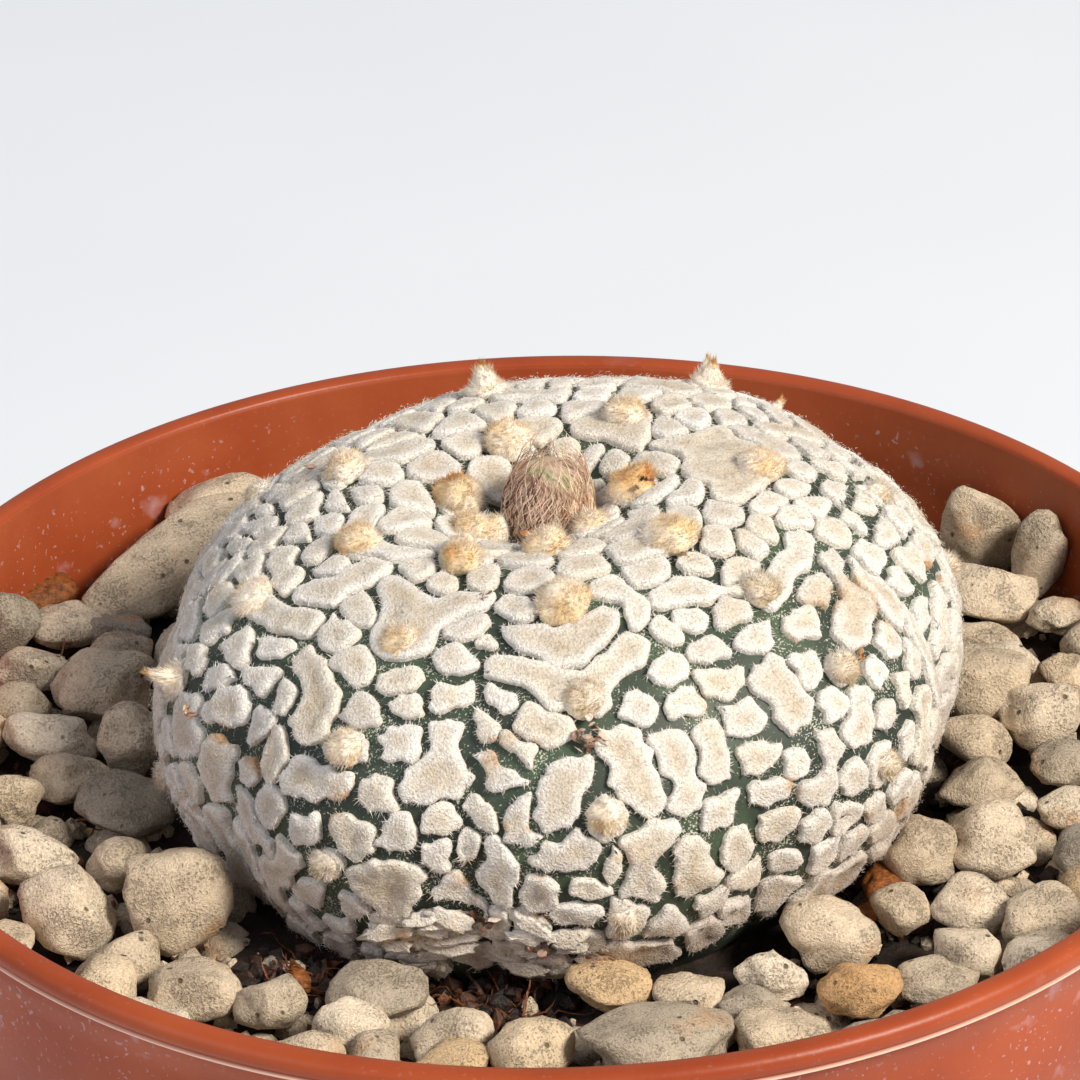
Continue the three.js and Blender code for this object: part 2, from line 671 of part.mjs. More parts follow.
// The main stones, then smaller ones dropped wherever there is room. Crowded neighbours then
// push each other apart, between the cactus and the pot's wall.
function layOutStones() {
  const random = seeded(41);
  const stones = mainStones.map(([x, y, across, tall, degrees]) => ({
    x, y, across, tall, wide: across * (degrees ? 0.5 : 0.85), turn: ((degrees ?? 0) * Math.PI) / 180,
  }));
  const apart = (a, b) => Math.hypot(a.x - b.x, a.y - b.y) - (a.across + a.wide + b.across + b.wide) / 4;
  const nearest = (across) => bodyRadius - 0.8 + 0.45 * across;
  const farthest = (across) => innerRadius(gravelBedTop) - gap - 0.52 * across;

  for (let attempt = 0; attempt < fillerTries; attempt += 1) {
    const across = largestFiller + (smallestFiller - largestFiller) * Math.sqrt(attempt / fillerTries);
    const inner = nearest(across);
    const distance = Math.sqrt(inner ** 2 + (farthest(across) ** 2 - inner ** 2) * random());
    const angle = 2 * Math.PI * random();
    const turnAngle = Math.PI * random();
    const trial = {
      x: distance * Math.cos(angle), y: distance * Math.sin(angle), turn: turnAngle,
      across, wide: across * (0.7 + 0.2 * random()), tall: across * (0.55 + 0.15 * random()),
    };
    if (stones.every((other) => apart(other, trial) > -0.4)) stones.push(trial);
  }

  for (let round = 0; round < settleRounds; round += 1) {
    stones.forEach((a, index) => {
      stones.slice(index + 1).forEach((b) => {
        const overlap = -apart(a, b);
        if (overlap <= 0) return;
        const distance = Math.hypot(a.x - b.x, a.y - b.y);
        const push = (overlap * 0.5) / distance;
        const [stepX, stepY] = [(a.x - b.x) * push, (a.y - b.y) * push];
        a.x += stepX * 0.5;
        a.y += stepY * 0.5;
        b.x -= stepX * 0.5;
        b.y -= stepY * 0.5;
      });
      const distance = Math.hypot(a.x, a.y);
      const kept = Math.min(Math.max(distance, nearest(a.across)), farthest(a.across)) / distance;
      a.x *= kept;
      a.y *= kept;
    });
  }
  return stones;
}

function gravel() {
  const random = seeded(53);
  const bottom = soilTop + gap;
  const clear = gap + 0.1;
  const bedHole = bodyRadius - 6;
  const bed = turned([
    [bedHole, bottom],
    [innerRadius(bottom) - clear, bottom],
    [innerRadius(gravelBedTop) - clear, gravelBedTop],
    [bedHole, gravelBedTop],
    [bedHole, bottom],
  ], potSides);
  const bore = toSolid(turned([
    [0, bottom],
    [innerRadius(bottom) - clear, bottom],
    [innerRadius(potHeight) - clear, potHeight],
    [0, potHeight],
  ], potSides));
  const stones = layOutStones().map((each) => {
    const height = gravelBedTop + stoneSink * each.tall;
    return stone(each, random).translate(each.x, each.y, height);
  });
  const layer = join([bed, ...stones]).intersect(bore);
  return toGeometry(mainBody(layer.subtract(envelope(bodyClearance))));
}

// ---- The potted plant ----

const finishes = {
  plastic: new THREE.MeshStandardMaterial({ color: '#b4613c', roughness: 0.42, metalness: 0 }),
  soil: new THREE.MeshStandardMaterial({ color: '#2f241c', roughness: 1, metalness: 0 }),
  pumice: new THREE.MeshStandardMaterial({ color: '#b5a38c', roughness: 0.95, metalness: 0 }),
  cactus: new THREE.MeshStandardMaterial({ color: '#d9d2bf', roughness: 0.9, metalness: 0 }),
  bud: new THREE.MeshStandardMaterial({ color: '#a07a5c', roughness: 0.9, metalness: 0 }),
};

function piece(name, geometry, material) {
  const mesh = new THREE.Mesh(geometry, material);
  mesh.name = name;
  return mesh;
}

const group = new THREE.Group();
group.add(piece('pot', pot(), finishes.plastic));
group.add(piece('soil', soil(), finishes.soil));
group.add(piece('gravel', gravel(), finishes.pumice));
group.add(piece('cactus_body', cactusBody(), finishes.cactus));
group.add(piece('flower_bud', flowerBud(), finishes.bud));

export default group;
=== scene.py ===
import math

import bmesh
import bpy
import numpy as np
from mathutils import Matrix, Vector, noise


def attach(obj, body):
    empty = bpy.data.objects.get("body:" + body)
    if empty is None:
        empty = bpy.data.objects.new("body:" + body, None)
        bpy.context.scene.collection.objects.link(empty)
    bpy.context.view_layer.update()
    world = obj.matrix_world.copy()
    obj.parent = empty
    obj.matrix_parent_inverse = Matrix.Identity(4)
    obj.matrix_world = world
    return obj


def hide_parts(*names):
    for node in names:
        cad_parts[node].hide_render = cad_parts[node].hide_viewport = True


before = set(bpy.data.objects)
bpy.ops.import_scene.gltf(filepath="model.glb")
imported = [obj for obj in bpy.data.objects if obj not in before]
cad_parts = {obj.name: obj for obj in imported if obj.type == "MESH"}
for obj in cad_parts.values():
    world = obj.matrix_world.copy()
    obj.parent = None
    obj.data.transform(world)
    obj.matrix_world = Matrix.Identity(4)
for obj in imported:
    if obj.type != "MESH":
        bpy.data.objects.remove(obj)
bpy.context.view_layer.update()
mm = 0.001


# Numbers drawn in the same order each run
def seeded(seed):
    state = seed

    def draw():
        nonlocal state
        state = state * 48271 % 2147483647
        return state / 2147483647

    return draw


def smoothStep(value, low, high):
    part = np.clip((value - low) / (high - low), 0, 1)
    return part * part * (3 - 2 * part)


def linear(hexColour):
    parts = [int(hexColour[i:i + 2], 16) / 255 for i in (1, 3, 5)]
    return [c / 12.92 if c <= 0.04045 else ((c + 0.055) / 1.055) ** 2.4 for c in parts] + [1]


# Camera, lights and floor

view = {
    "place": (0, -0.3426, 0.2725),
    "tiltDegrees": 60.164,
    "turnDegrees": 0.0856,
    "rollDegrees": -1.332,
    "lens": 219.54,
    "sensor": 36,
}


def addCamera():
    data = bpy.data.cameras.new("camera")
    data.lens = view["lens"]
    data.sensor_width = view["sensor"]
    data.clip_start = 0.01
    data.clip_end = 20
    camera = bpy.data.objects.new("camera", data)
    turn, tilt, roll = (Matrix.Rotation(math.radians(view[name]), 4, axis)
                        for name, axis in (("turnDegrees", "Z"), ("tiltDegrees", "X"), ("rollDegrees", "Z")))
    camera.matrix_world = Matrix.Translation(view["place"]) @ turn @ tilt @ roll
    bpy.context.scene.collection.objects.link(camera)
    bpy.context.scene.camera = camera


studio = {
    "keyFrom": (0.625, -0.45, 0.75), "keySize": 0.3, "keyPower": 14.6, "keyColour": "#fff7ea",
    "fillFrom": (-0.8, -0.5, 0.7), "fillSize": 0.9, "fillPower": 3.2, "fillColour": "#f2f6ff",
    "aimAt": (0, 0, 0.06),
    "skyColour": "#f1f5ff", "skyStrength": 0.37,
    "floorColour": "#e6ebf1", "floorSize": 6,
}


def addLight(name, place, size, power, colour):
    data = bpy.data.lights.new(name, "AREA")
    data.shape = "DISK"
    data.size = size
    data.energy = power
    data.color = linear(colour)[:3]
    light = bpy.data.objects.new(name, data)
    light.location = place
    aim = Vector(studio["aimAt"]) - Vector(place)
    light.rotation_euler = aim.to_track_quat("-Z", "Y").to_euler()
    bpy.context.scene.collection.objects.link(light)


def addStudio():
    for name in ("key", "fill"):
        addLight(name + "Light", *(studio[name + part] for part in ("From", "Size", "Power", "Colour")))
    world = bpy.data.worlds.new("studioWorld")
    bpy.context.scene.world = world
    world.use_nodes = True
    sky = world.node_tree.nodes["Background"]
    plug(world.node_tree, sky, {"Color": studio["skyColour"], "Strength": studio["skyStrength"]})
    bpy.context.scene.view_settings.view_transform = "Standard"


# A node's input takes another node, one of its outputs, a colour in hex or a number
def plug(tree, node, inputs):
    for socket, value in inputs.items():
        if isinstance(value, bpy.types.Node):
            value = next(output for output in value.outputs if output.enabled)
        if isinstance(value, bpy.types.NodeSocket):
            tree.links.new(value, node.inputs[socket])
        else:
            node.inputs[socket].default_value = linear(value) if isinstance(value, str) else value


def addNode(tree, kind, inputs={}, stops=(), **settings):
    node = tree.nodes.new("ShaderNode" + kind)
    for name, value in settings.items():
        setattr(node, name, value)
    plug(tree, node, inputs)
    for index, (place, colour) in enumerate(stops):
        ends = node.color_ramp.elements
        stop = ends[index] if index < 2 else ends.new(place)
        stop.position = place
        stop.color = linear(colour)
    return node


# A colour made darker and lighter by a pattern: the pattern's range, and how bright each end is
def grained(tree, colour, pattern, low, high, dark, light):
    shade = addNode(tree, "MapRange", {"Value": pattern, "From Min": low, "From Max": high,
                                       "To Min": dark, "To Max": light})
    return addNode(tree, "Mix", {0: 1.0, 6: colour, 7: shade}, data_type="RGBA", blend_type="MULTIPLY")


def startMaterial(name):
    material = bpy.data.materials.new(name)
    material.use_nodes = True
    tree = material.node_tree
    return material, tree, tree.nodes["Principled BSDF"]


# A pattern's scale for features of a size in millimetres, in Object coordinates
def perMm(size):
    return 1 / (size * mm)


# Matt paper roll: the pale sheet that the pot stands on, even and without gloss
def paperMaterial():
    material, tree, shader = startMaterial("paperBackdrop")
    where = addNode(tree, "TexCoord").outputs["Object"]
    grain = addNode(tree, "TexNoise", {"Vector": where, "Scale": perMm(40), "Detail": 2})
    tint = addNode(tree, "ValToRGB", {"Fac": grain}, [(0.3, "#e4e9ef"), (0.7, studio["floorColour"])])
    plug(tree, shader, {"Base Color": tint, "Roughness": 0.95, "Specular IOR Level": 0.1})
    return material


def addFloor():
    bm = bmesh.new()
    bmesh.ops.create_grid(bm, x_segments=2, y_segments=2, size=studio["floorSize"] / 2)
    mesh = bpy.data.meshes.new("floor")
    bm.to_mesh(mesh)
    floor = bpy.data.objects.new("floor", mesh)
    mesh.materials.append(paperMaterial())
    bpy.context.scene.collection.objects.link(floor)


def addPiece(name, mesh, material, nodes, smooth=True):
    mesh.materials.append(material)
    mesh.polygons.foreach_set("use_smooth", [smooth] * len(mesh.polygons))
    piece = bpy.data.objects.new(name, mesh)
    bpy.context.scene.collection.objects.link(piece)
    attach(piece, "root")
    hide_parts(*nodes)
    print("made", name, len(mesh.loop_triangles) or sum(len(p.vertices) - 2 for p in mesh.polygons))
    return piece


def setAttribute(mesh, name, values):
    mesh.attributes.new(name, "FLOAT", "POINT").data.foreach_set("value", np.asarray(values, np.float32))


# The corners and faces of a shape made with bmesh operators, to be repeated
def readShape(bm):
    bm.verts.index_update()
    corners = np.array([v.co for v in bm.verts])
    faces = np.array([[v.index for v in f.verts] for f in bm.faces])
    bm.free()
    return corners, faces


def ballShape(level):
    bm = bmesh.new()
    bmesh.ops.create_icosphere(bm, subdivisions=level, radius=1)
    return readShape(bm)


# Copies of one shape, each with its own corners, as one mesh
def repeatShape(name, copies, faces):
    count, size = len(copies), len(copies[0])
    allFaces = (faces[None] + (np.arange(count) * size)[:, None, None]).reshape(-1, faces.shape[1])
    mesh = bpy.data.meshes.new(name)
    mesh.from_pydata(np.concatenate(copies).tolist(), [], allFaces.tolist())
    return mesh


# A three-sided hair from 0 to 1, tapering to a point, with rings between
def hairShape(levels):
    bm = bmesh.new()
    bmesh.ops.create_cone(bm, cap_ends=True, segments=3, radius1=1, radius2=0, depth=1)
    bmesh.ops.translate(bm, verts=bm.verts, vec=(0, 0, 0.5))
    bmesh.ops.remove_doubles(bm, verts=bm.verts, dist=1e-4)
    for level in range(1, levels):
        everything = bm.verts[:] + bm.edges[:] + bm.faces[:]
        bmesh.ops.bisect_plane(bm, geom=everything, plane_co=(0, 0, level / levels), plane_no=(0, 0, 1))
    bmesh.ops.triangulate(bm, faces=bm.faces)
    bmesh.ops.recalc_face_normals(bm, faces=bm.faces)
    return readShape(bm)


# Hairs along paths of levels + 1 points each, in millimetres
def growHairs(name, paths, widths, blunt=0.0):
    count, points = paths.shape[:2]
    levels = points - 1
    corners, faces = hairShape(levels)
    step = np.rint(corners[:, 2] * levels).astype(int)
    along = paths[:, -1] - paths[:, 0]
    along /= np.linalg.norm(along, axis=1)[:, None] + 1e-9
    helper = np.where(np.abs(along[:, 2:]) > 0.8, [[1.0, 0, 0]], [[0, 0, 1.0]])
    side = np.cross(along, helper)
    side /= np.linalg.norm(side, axis=1)[:, None]
    other = np.cross(along, side)
    thick = 1 - corners[:, 2] * (1 - blunt)
    flat = corners[:, :2] / np.maximum(1 - corners[:, 2:], 1e-6)
    flat = np.where(corners[:, 2:] > 0.999, 0, flat * thick[:, None])
    placed = paths[:, step]
    placed = placed + side[:, None] * (flat[None, :, :1] * widths[:, None, None])
    placed = placed + other[:, None] * (flat[None, :, 1:] * widths[:, None, None])
    return repeatShape(name, placed * mm, faces), len(corners)


def fromBmesh(name, bm):
    mesh = bpy.data.meshes.new(name)
    bm.to_mesh(mesh)
    bm.free()
    return mesh


def readAll(items, name, width=1, kind=float):
    values = np.empty(len(items) * width, kind)
    items.foreach_get(name, values)
    return values.reshape(-1, width) if width > 1 else values


def coordinates(mesh):
    return readAll(mesh.vertices, "co", 3)


def moveTo(mesh, points):
    mesh.vertices.foreach_set("co", np.asarray(points, np.float32).ravel())
    mesh.update()


def lumps(points, size, seed=0.0):
    spots = (points / size + seed).tolist()
    return np.array([noise.noise(spot) for spot in spots])


# Millimetres, in every dictionary from here on
pot = {
    "rimRadius": 42.5, "height": 66, "footRadius": 30, "footRingWidth": 3, "wall": 1.1,
    "collarHeight": 12, "collarStep": 1.3, "beadRadius": 0.75, "floorLift": 1.8,
    "floorThickness": 1.4, "drainHoleRadius": 3, "drainCircleRadius": 19, "sides": 200,
}
collarFoot = pot["height"] - pot["collarHeight"]
collarRadius = pot["rimRadius"] - pot["beadRadius"] * 1.6


def innerRadius(height):
    if height > collarFoot + 0.6:
        return collarRadius - pot["wall"] + 0.7 * (height - collarFoot) / pot["collarHeight"]
    shoulder = collarRadius - pot["collarStep"] - pot["wall"]
    low = pot["footRadius"] - pot["wall"] + 0.4
    part = (height - pot["floorLift"]) / (collarFoot - 0.2 - pot["floorLift"])
    return low + (shoulder - low) * part


def spinRound(profile, sides):
    bm = bmesh.new()
    verts = [bm.verts.new((radius, 0, height)) for radius, height in profile]
    edges = [bm.edges.new(pair) for pair in zip(verts, verts[1:])]
    bmesh.ops.spin(bm, geom=verts + edges, axis=(0, 0, 1), cent=(0, 0, 0),
                   angle=2 * math.pi, steps=sides, use_merge=True)
    return bm


def turnProfile(profile, sides):
    bm = spinRound([(radius * mm, height * mm) for radius, height in profile], sides)
    bmesh.ops.remove_doubles(bm, verts=bm.verts, dist=1e-7)
    bmesh.ops.recalc_face_normals(bm, faces=bm.faces)
    return bm


def addPot():
    height, bead, rim = pot["height"], pot["beadRadius"], pot["rimRadius"]
    foot, lift = pot["footRadius"], pot["floorLift"]
    floorTop, ring = lift + pot["floorThickness"], foot - pot["footRingWidth"]
    profile = [(0, lift), (ring - 0.3, lift), (ring, lift - 0.3), (ring + 0.35, 0.12), (ring + 0.6, 0),
               (foot - 0.45, 0), (foot - 0.12, 0.12), (foot, 0.45)]
    bottom, top = (foot, 0.45), (collarRadius - pot["collarStep"], collarFoot - 0.9)
    profile += [(bottom[0] + (top[0] - bottom[0]) * i / 8, bottom[1] + (top[1] - bottom[1]) * i / 8)
                for i in range(1, 9)]
    profile += [(top[0] + 0.25, collarFoot - 0.75), (collarRadius - 0.2, collarFoot - 0.2),
                (collarRadius, collarFoot + 0.1), (collarRadius + 0.25, collarFoot + 5),
                (collarRadius + 0.42, height - 4), (collarRadius + 0.5, height - 2 * bead - 0.35)]
    # The flash: a fine ridge left where the mould's two halves meet, just under the rim's bead
    profile += [(rim - 0.42, height - 2 * bead - 0.16), (rim - 0.1, height - 2 * bead - 0.02),
                (rim - 0.08, height - 2 * bead + 0.08), (rim - 0.26, height - 2 * bead + 0.2)]
    for i in range(9):
        angle = math.radians(-35 + 125 * i / 8)
        profile.append((rim - bead + bead * math.cos(angle), height - bead + bead * math.sin(angle)))
    inside = innerRadius(height)
    profile += [(inside + 0.55, height), (inside + 0.25, height - 0.04), (inside + 0.08, height - 0.18),
                (inside, height - 0.5), (innerRadius(height - 5), height - 5),
                (innerRadius(collarFoot + 0.9), collarFoot + 0.9),
                (innerRadius(collarFoot - 0.2), collarFoot - 0.2),
                (innerRadius(30), 30), (innerRadius(floorTop + 1.2), floorTop + 1.2),
                (innerRadius(floorTop) - 1.2, floorTop), (0, floorTop)]
    mesh = fromBmesh("pot", turnProfile(profile, pot["sides"]))
    shell = bpy.data.objects.new("potShell", mesh)

    drills = bmesh.new()
    # Six holes in a ring, and one in the middle
    for i in range(7):
        angle = math.pi * i / 3
        reach = 0 if i == 6 else pot["drainCircleRadius"] * mm
        spot = Matrix.Translation((reach * math.cos(angle), reach * math.sin(angle), floorTop * mm / 2))
        radius = pot["drainHoleRadius"] * mm
        bmesh.ops.create_cone(drills, cap_ends=True, segments=28, radius1=radius, radius2=radius,
                              depth=0.012, matrix=spot)
    drill = bpy.data.objects.new("potDrill", fromBmesh("potDrill", drills))
    for each in (shell, drill):
        bpy.context.scene.collection.objects.link(each)
    cut = shell.modifiers.new("holes", "BOOLEAN")
    cut.object = drill
    cut.operation = "DIFFERENCE"
    cut.solver = "EXACT"
    bpy.context.view_layer.update()
    done = bpy.data.meshes.new_from_object(shell.evaluated_get(bpy.context.evaluated_depsgraph_get()))
    bpy.data.objects.remove(shell)
    bpy.data.objects.remove(drill)
    done.name = "nurseryPot"
    addPiece("nurseryPot", done, plasticMaterial(), ["pot"])


# Injection-moulded polypropylene, terracotta coloured: a satin shell whose outside is chalky
# with limescale splashes, and whose inside shows faint dried drips
def plasticMaterial():
    material, tree, shader = startMaterial("mouldedPolypropylene")
    where = addNode(tree, "TexCoord").outputs["Object"]
    east, north, height = addNode(tree, "SeparateXYZ", {0: where}).outputs
    flat = addNode(tree, "CombineXYZ", {"X": east, "Y": north})
    reach = addNode(tree, "VectorMath", {0: flat}, operation="LENGTH")

    # Outside or inside: how far out a point is, against the wall's middle at its height
    taper = addNode(tree, "MapRange", {
        "Value": height, "From Max": pot["height"] * mm,
        "To Min": (pot["footRadius"] - pot["wall"] / 2) * mm, "To Max": (collarRadius + 0.1) * mm})
    collar = addNode(tree, "Math", {0: height, 1: (collarFoot - 0.3) * mm}, operation="GREATER_THAN")
    wall = addNode(tree, "Mix", {0: collar, 2: taper, 3: (collarRadius - 0.35) * mm})
    outside = addNode(tree, "Math", {0: reach, 1: wall}, operation="GREATER_THAN")

    mottle = addNode(tree, "TexNoise", {"Vector": where, "Scale": perMm(9), "Detail": 4})
    inner = addNode(tree, "ValToRGB", {"Fac": mottle}, [(0.3, "#923e20"), (0.72, "#a75430")])
    outer = addNode(tree, "ValToRGB", {"Fac": mottle}, [(0.3, "#8f3c1e"), (0.72, "#a64d29")])
    base = addNode(tree, "Mix", {0: outside, 6: inner, 7: outer}, data_type="RGBA")

    # Limescale: comma-shaped splashes a millimetre or two long, thin and bluish
    warp = addNode(tree, "TexNoise", {"Vector": where, "Scale": perMm(1.6), "Detail": 2}).outputs["Color"]
    push = addNode(tree, "VectorMath", {0: warp, 1: (0.0026, 0.0026, 0.0026)}, operation="MULTIPLY")
    bent = addNode(tree, "VectorMath", {0: where, 1: (1, 1, 1.4), 2: push}, operation="MULTIPLY_ADD")
    splash = addNode(tree, "TexVoronoi", {"Vector": bent, "Scale": perMm(4.2)})
    patch = addNode(tree, "TexNoise", {"Vector": where, "Scale": perMm(7), "Detail": 3})
    size = addNode(tree, "MapRange", {"Value": patch, "From Min": 0.42, "From Max": 0.75, "To Max": 0.46})
    mark = addNode(tree, "Math", {0: size, 1: splash}, operation="SUBTRACT")
    markSoft = addNode(tree, "MapRange", {"Value": mark, "From Max": 0.24})
    specks = addNode(tree, "TexNoise", {"Vector": where, "Scale": perMm(0.34), "Detail": 1})
    speck = addNode(tree, "MapRange", {"Value": specks, "From Min": 0.66, "From Max": 0.71, "To Max": 0.7})
    pick = addNode(tree, "MapRange", {"Value": patch, "From Min": 0.4, "From Max": 0.62, "To Min": 0.15})
    speckle = addNode(tree, "Math", {0: speck, 1: pick}, operation="MULTIPLY")
    scaleMark = addNode(tree, "Math", {0: markSoft, 1: speckle}, operation="MAXIMUM")
    # It is worn off the bead that hands touch
    kept = addNode(tree, "MapRange", {
        "Value": height, "From Min": (pot["height"] - 2.2) * mm, "From Max": (pot["height"] - 1.4) * mm,
        "To Min": 0.42, "To Max": 0.063})
    lime = addNode(tree, "Math", {0: scaleMark, 1: kept}, operation="MULTIPLY")
    chalky = addNode(tree, "Mix", {0: lime, 6: base, 7: "#d3cdd6"}, data_type="RGBA")

    # A painted highlight along the flash: paler, pinkish colour on its outside, on a line as fine as a hair
    flashHeight = (pot["height"] - 2 * pot["beadRadius"] + 0.03) * mm
    offLine = addNode(tree, "Math", {0: height, 1: flashHeight}, operation="SUBTRACT")
    nearLine = addNode(tree, "Math", {0: offLine}, operation="ABSOLUTE")
    flashHighlight = addNode(tree, "MapRange", {"Value": nearLine, "From Min": 0.17 * mm, "From Max": 0.05 * mm})
    flashHighlightOutside = addNode(tree, "Math", {0: flashHighlight, 1: outside}, operation="MULTIPLY")
    colour = addNode(tree, "Mix", {0: flashHighlightOutside, 6: chalky, 7: "#e8b9a4"}, data_type="RGBA")

    rough = addNode(tree, "MapRange", {"Value": lime, "From Max": 0.5, "To Min": 0.36, "To Max": 0.7})
    fine = addNode(tree, "TexNoise", {"Vector": where, "Scale": perMm(0.5), "Detail": 2})
    bump = addNode(tree, "Bump", {"Height": fine, "Strength": 0.08, "Distance": 0.0002})
    shine = addNode(tree, "Mix", {0: outside, 2: 0.5, 3: 0.24})
    plug(tree, shader, {"Base Color": colour, "Roughness": rough, "Normal": bump,
                        "Specular IOR Level": shine, "IOR": 1.49})
    return material


# The cactus's surface: a flattened globe with eight ribs, leaning a little

body = {
    "radius": 24.3, "crownHeight": 12.9, "undersideDepth": 15.4, "squareness": 2.7,
    "dimpleDepth": 3.9, "dimpleWidth": 6, "centre": (0.35, 0, 67.2), "leanDegrees": -6,
    "ribBottom": 32, "ribGroove": 0.05,
    # Each rib: its crest's azimuth at the crown and low on its side, in degrees, and the arc
    # lengths from the apex of its first areole and from one to the next
    "ribs": [(-83, -82.5, 6.9, 6.8), (-44, -38.5, 5.1, 6.5), (-3, 10, 6.7, 7.6), (52, 56, 10.3, 9.2),
             (102, 100, 7.6, 7.6), (160, 147, 5.5, 7.5), (205, 192, 4.6, 7.0), (244, 235.5, 9.4, 7.05)],
}


def meridian(angle):
    angle = np.asarray(angle, float)
    radius = body["radius"] * np.abs(np.sin(angle)) ** (2 / body["squareness"])
    upper = angle < math.pi / 2
    reach = np.where(upper, body["crownHeight"], body["undersideDepth"])
    dimple = np.where(upper, body["dimpleDepth"] * np.exp(-(radius / body["dimpleWidth"]) ** 2), 0)
    return radius, reach * np.cos(angle) - dimple


arcAngles = np.linspace(0, math.pi, 2001)
arcRadii, arcHeights = meridian(np.minimum(arcAngles, math.pi * (1 - 1e-6 / 2000)))
arcLengths = np.concatenate([[0], np.cumsum(np.hypot(np.diff(arcRadii), np.diff(arcHeights)))])
arcTotal = arcLengths[-1]


def angleAt(arc):
    return np.interp(np.clip(arc, 0, arcTotal), arcLengths, arcAngles)


def ribSpan(index, arc):
    part = np.clip(np.asarray(arc, float) / body["ribBottom"], 0, 1)

    def crest(rib):
        crown, low = body["ribs"][rib % 8][:2]
        return np.radians(crown + (low - crown) * part) + 2 * math.pi * (rib // 8)

    middle = crest(index)
    return (crest(index - 1) + middle) / 2, middle, (middle + crest(index + 1)) / 2


def across(azimuth, arc):
    share = np.ones(np.shape(azimuth))
    for index in range(8):
        left, middle, right = ribSpan(index, arc)
        place = left + np.mod(azimuth - left, 2 * math.pi)
        here = np.where(place < middle, (middle - place) / (middle - left),
                        (place - middle) / (right - middle))
        share = np.where(place <= right, here, share)
    return share


# A place on a rib: -1 and 1 are its sutures, 0 its crest
def onRib(index, side, arc):
    left, middle, right = (float(edge) for edge in ribSpan(index, arc))
    return middle + side * ((middle - left) if side < 0 else (right - middle))


def outward(azimuth, arc):
    arc = np.asarray(arc, float)
    r0, z0 = meridian(angleAt(arc - 0.2))
    r1, z1 = meridian(np.minimum(angleAt(arc + 0.2), math.pi - 1e-6))
    pole = (arc < 0.2) | (arc > arcTotal - 0.2)
    slope = np.where(pole, 0, z0 - z1)
    level = np.where(arc < 0.2, 1, np.where(arc > arcTotal - 0.2, -1, r1 - r0))
    size = np.hypot(slope, level)
    return np.stack([slope / size * np.cos(azimuth), slope / size * np.sin(azimuth), level / size], -1)


def onBody(azimuth, arc, lift=0.0):
    angle = np.minimum(angleAt(arc), math.pi - 1e-6)
    radius, height = meridian(angle)
    shrunk = radius * (1 - body["ribGroove"] * across(azimuth, arc) ** 2.5 * np.sin(angle))
    base = np.stack([shrunk * np.cos(azimuth), shrunk * np.sin(azimuth), height], -1)
    return base + outward(azimuth, arc) * np.asarray(lift)[..., None]


def leaning(angle):
    part, rest = math.sin(angle), math.cos(angle)
    return np.array([[rest, 0, part], [0, 1, 0], [-part, 0, rest]])


lean = math.radians(body["leanDegrees"])
leanMatrix = leaning(lean)


# From the body's own upright frame to where it stands
def planted(points):
    return points @ leanMatrix.T + np.array(body["centre"])


# Where the flecks lie

layout = {
    "firstRow": 4.3, "rowPitch": 2.42, "fleckPitch": 2.68, "rowRise": 1.9, "jitter": 0.55, "twist": 0.3,
    "joinSideways": 0.1, "joinDownwards": 0.13, "fleckedArc": 40, "chevronArc": 19,
    # The front rib's own flecks, each a chain of cells: across the rib, and arc from the apex
    "front": [
        [(-0.68, 13.9)], [(0.61, 13.5), (0.75, 15.8)], [(-0.95, 16.2)], [(0.95, 17.8)],
        [(-0.73, 15.5), (-0.34, 16.2), (-0.04, 17.4), (0.24, 16), (0.49, 15.3)],
        [(-0.8, 17.8), (-0.49, 18.5), (-0.21, 19.7), (-0.01, 20.6), (0.26, 19), (0.57, 18.1)],
        [(-0.75, 20.2)], [(-0.5, 21.6), (-0.27, 22.3)], [(-0.91, 21.8)], [(-0.61, 23)],
        [(-0.83, 23.9), (-0.73, 25)], [(-0.2, 24.2), (-0.28, 25.6), (-0.37, 26.9)],
        [(0.19, 23.7), (0.22, 25.5), (0.27, 27)], [(0.42, 21.6)], [(0.73, 22.4)], [(0.73, 20)],
        [(0.58, 24.3), (0.56, 26), (0.53, 27.8)], [(0.8, 25), (0.79, 26.5)],
        [(-0.65, 26.3), (-0.6, 28.1)], [(-0.88, 26.8)], [(-0.98, 29)], [(-0.77, 29.4), (-0.78, 30.7)],
        [(-0.43, 29.5), (-0.27, 28.9), (-0.2, 29.8)], [(-0.03, 30.4)],
        [(0.31, 29), (0.16, 30.1), (0.18, 31.7)], [(0.48, 30.6), (0.45, 31.9), (0.56, 32.8)],
        [(0.68, 29.1)], [(-0.5, 31.3)], [(-0.22, 31.3)],
    ],
}


class Cell:
    def __init__(self, azimuth, arc, group=0, side=0, row=-1):
        self.azimuth, self.arc, self.group, self.side, self.row = azimuth, arc, group, side, row
        self.point = onBody(float(azimuth), float(arc)).tolist()


def apart(a, b):
    return math.dist(a.point, b.point)


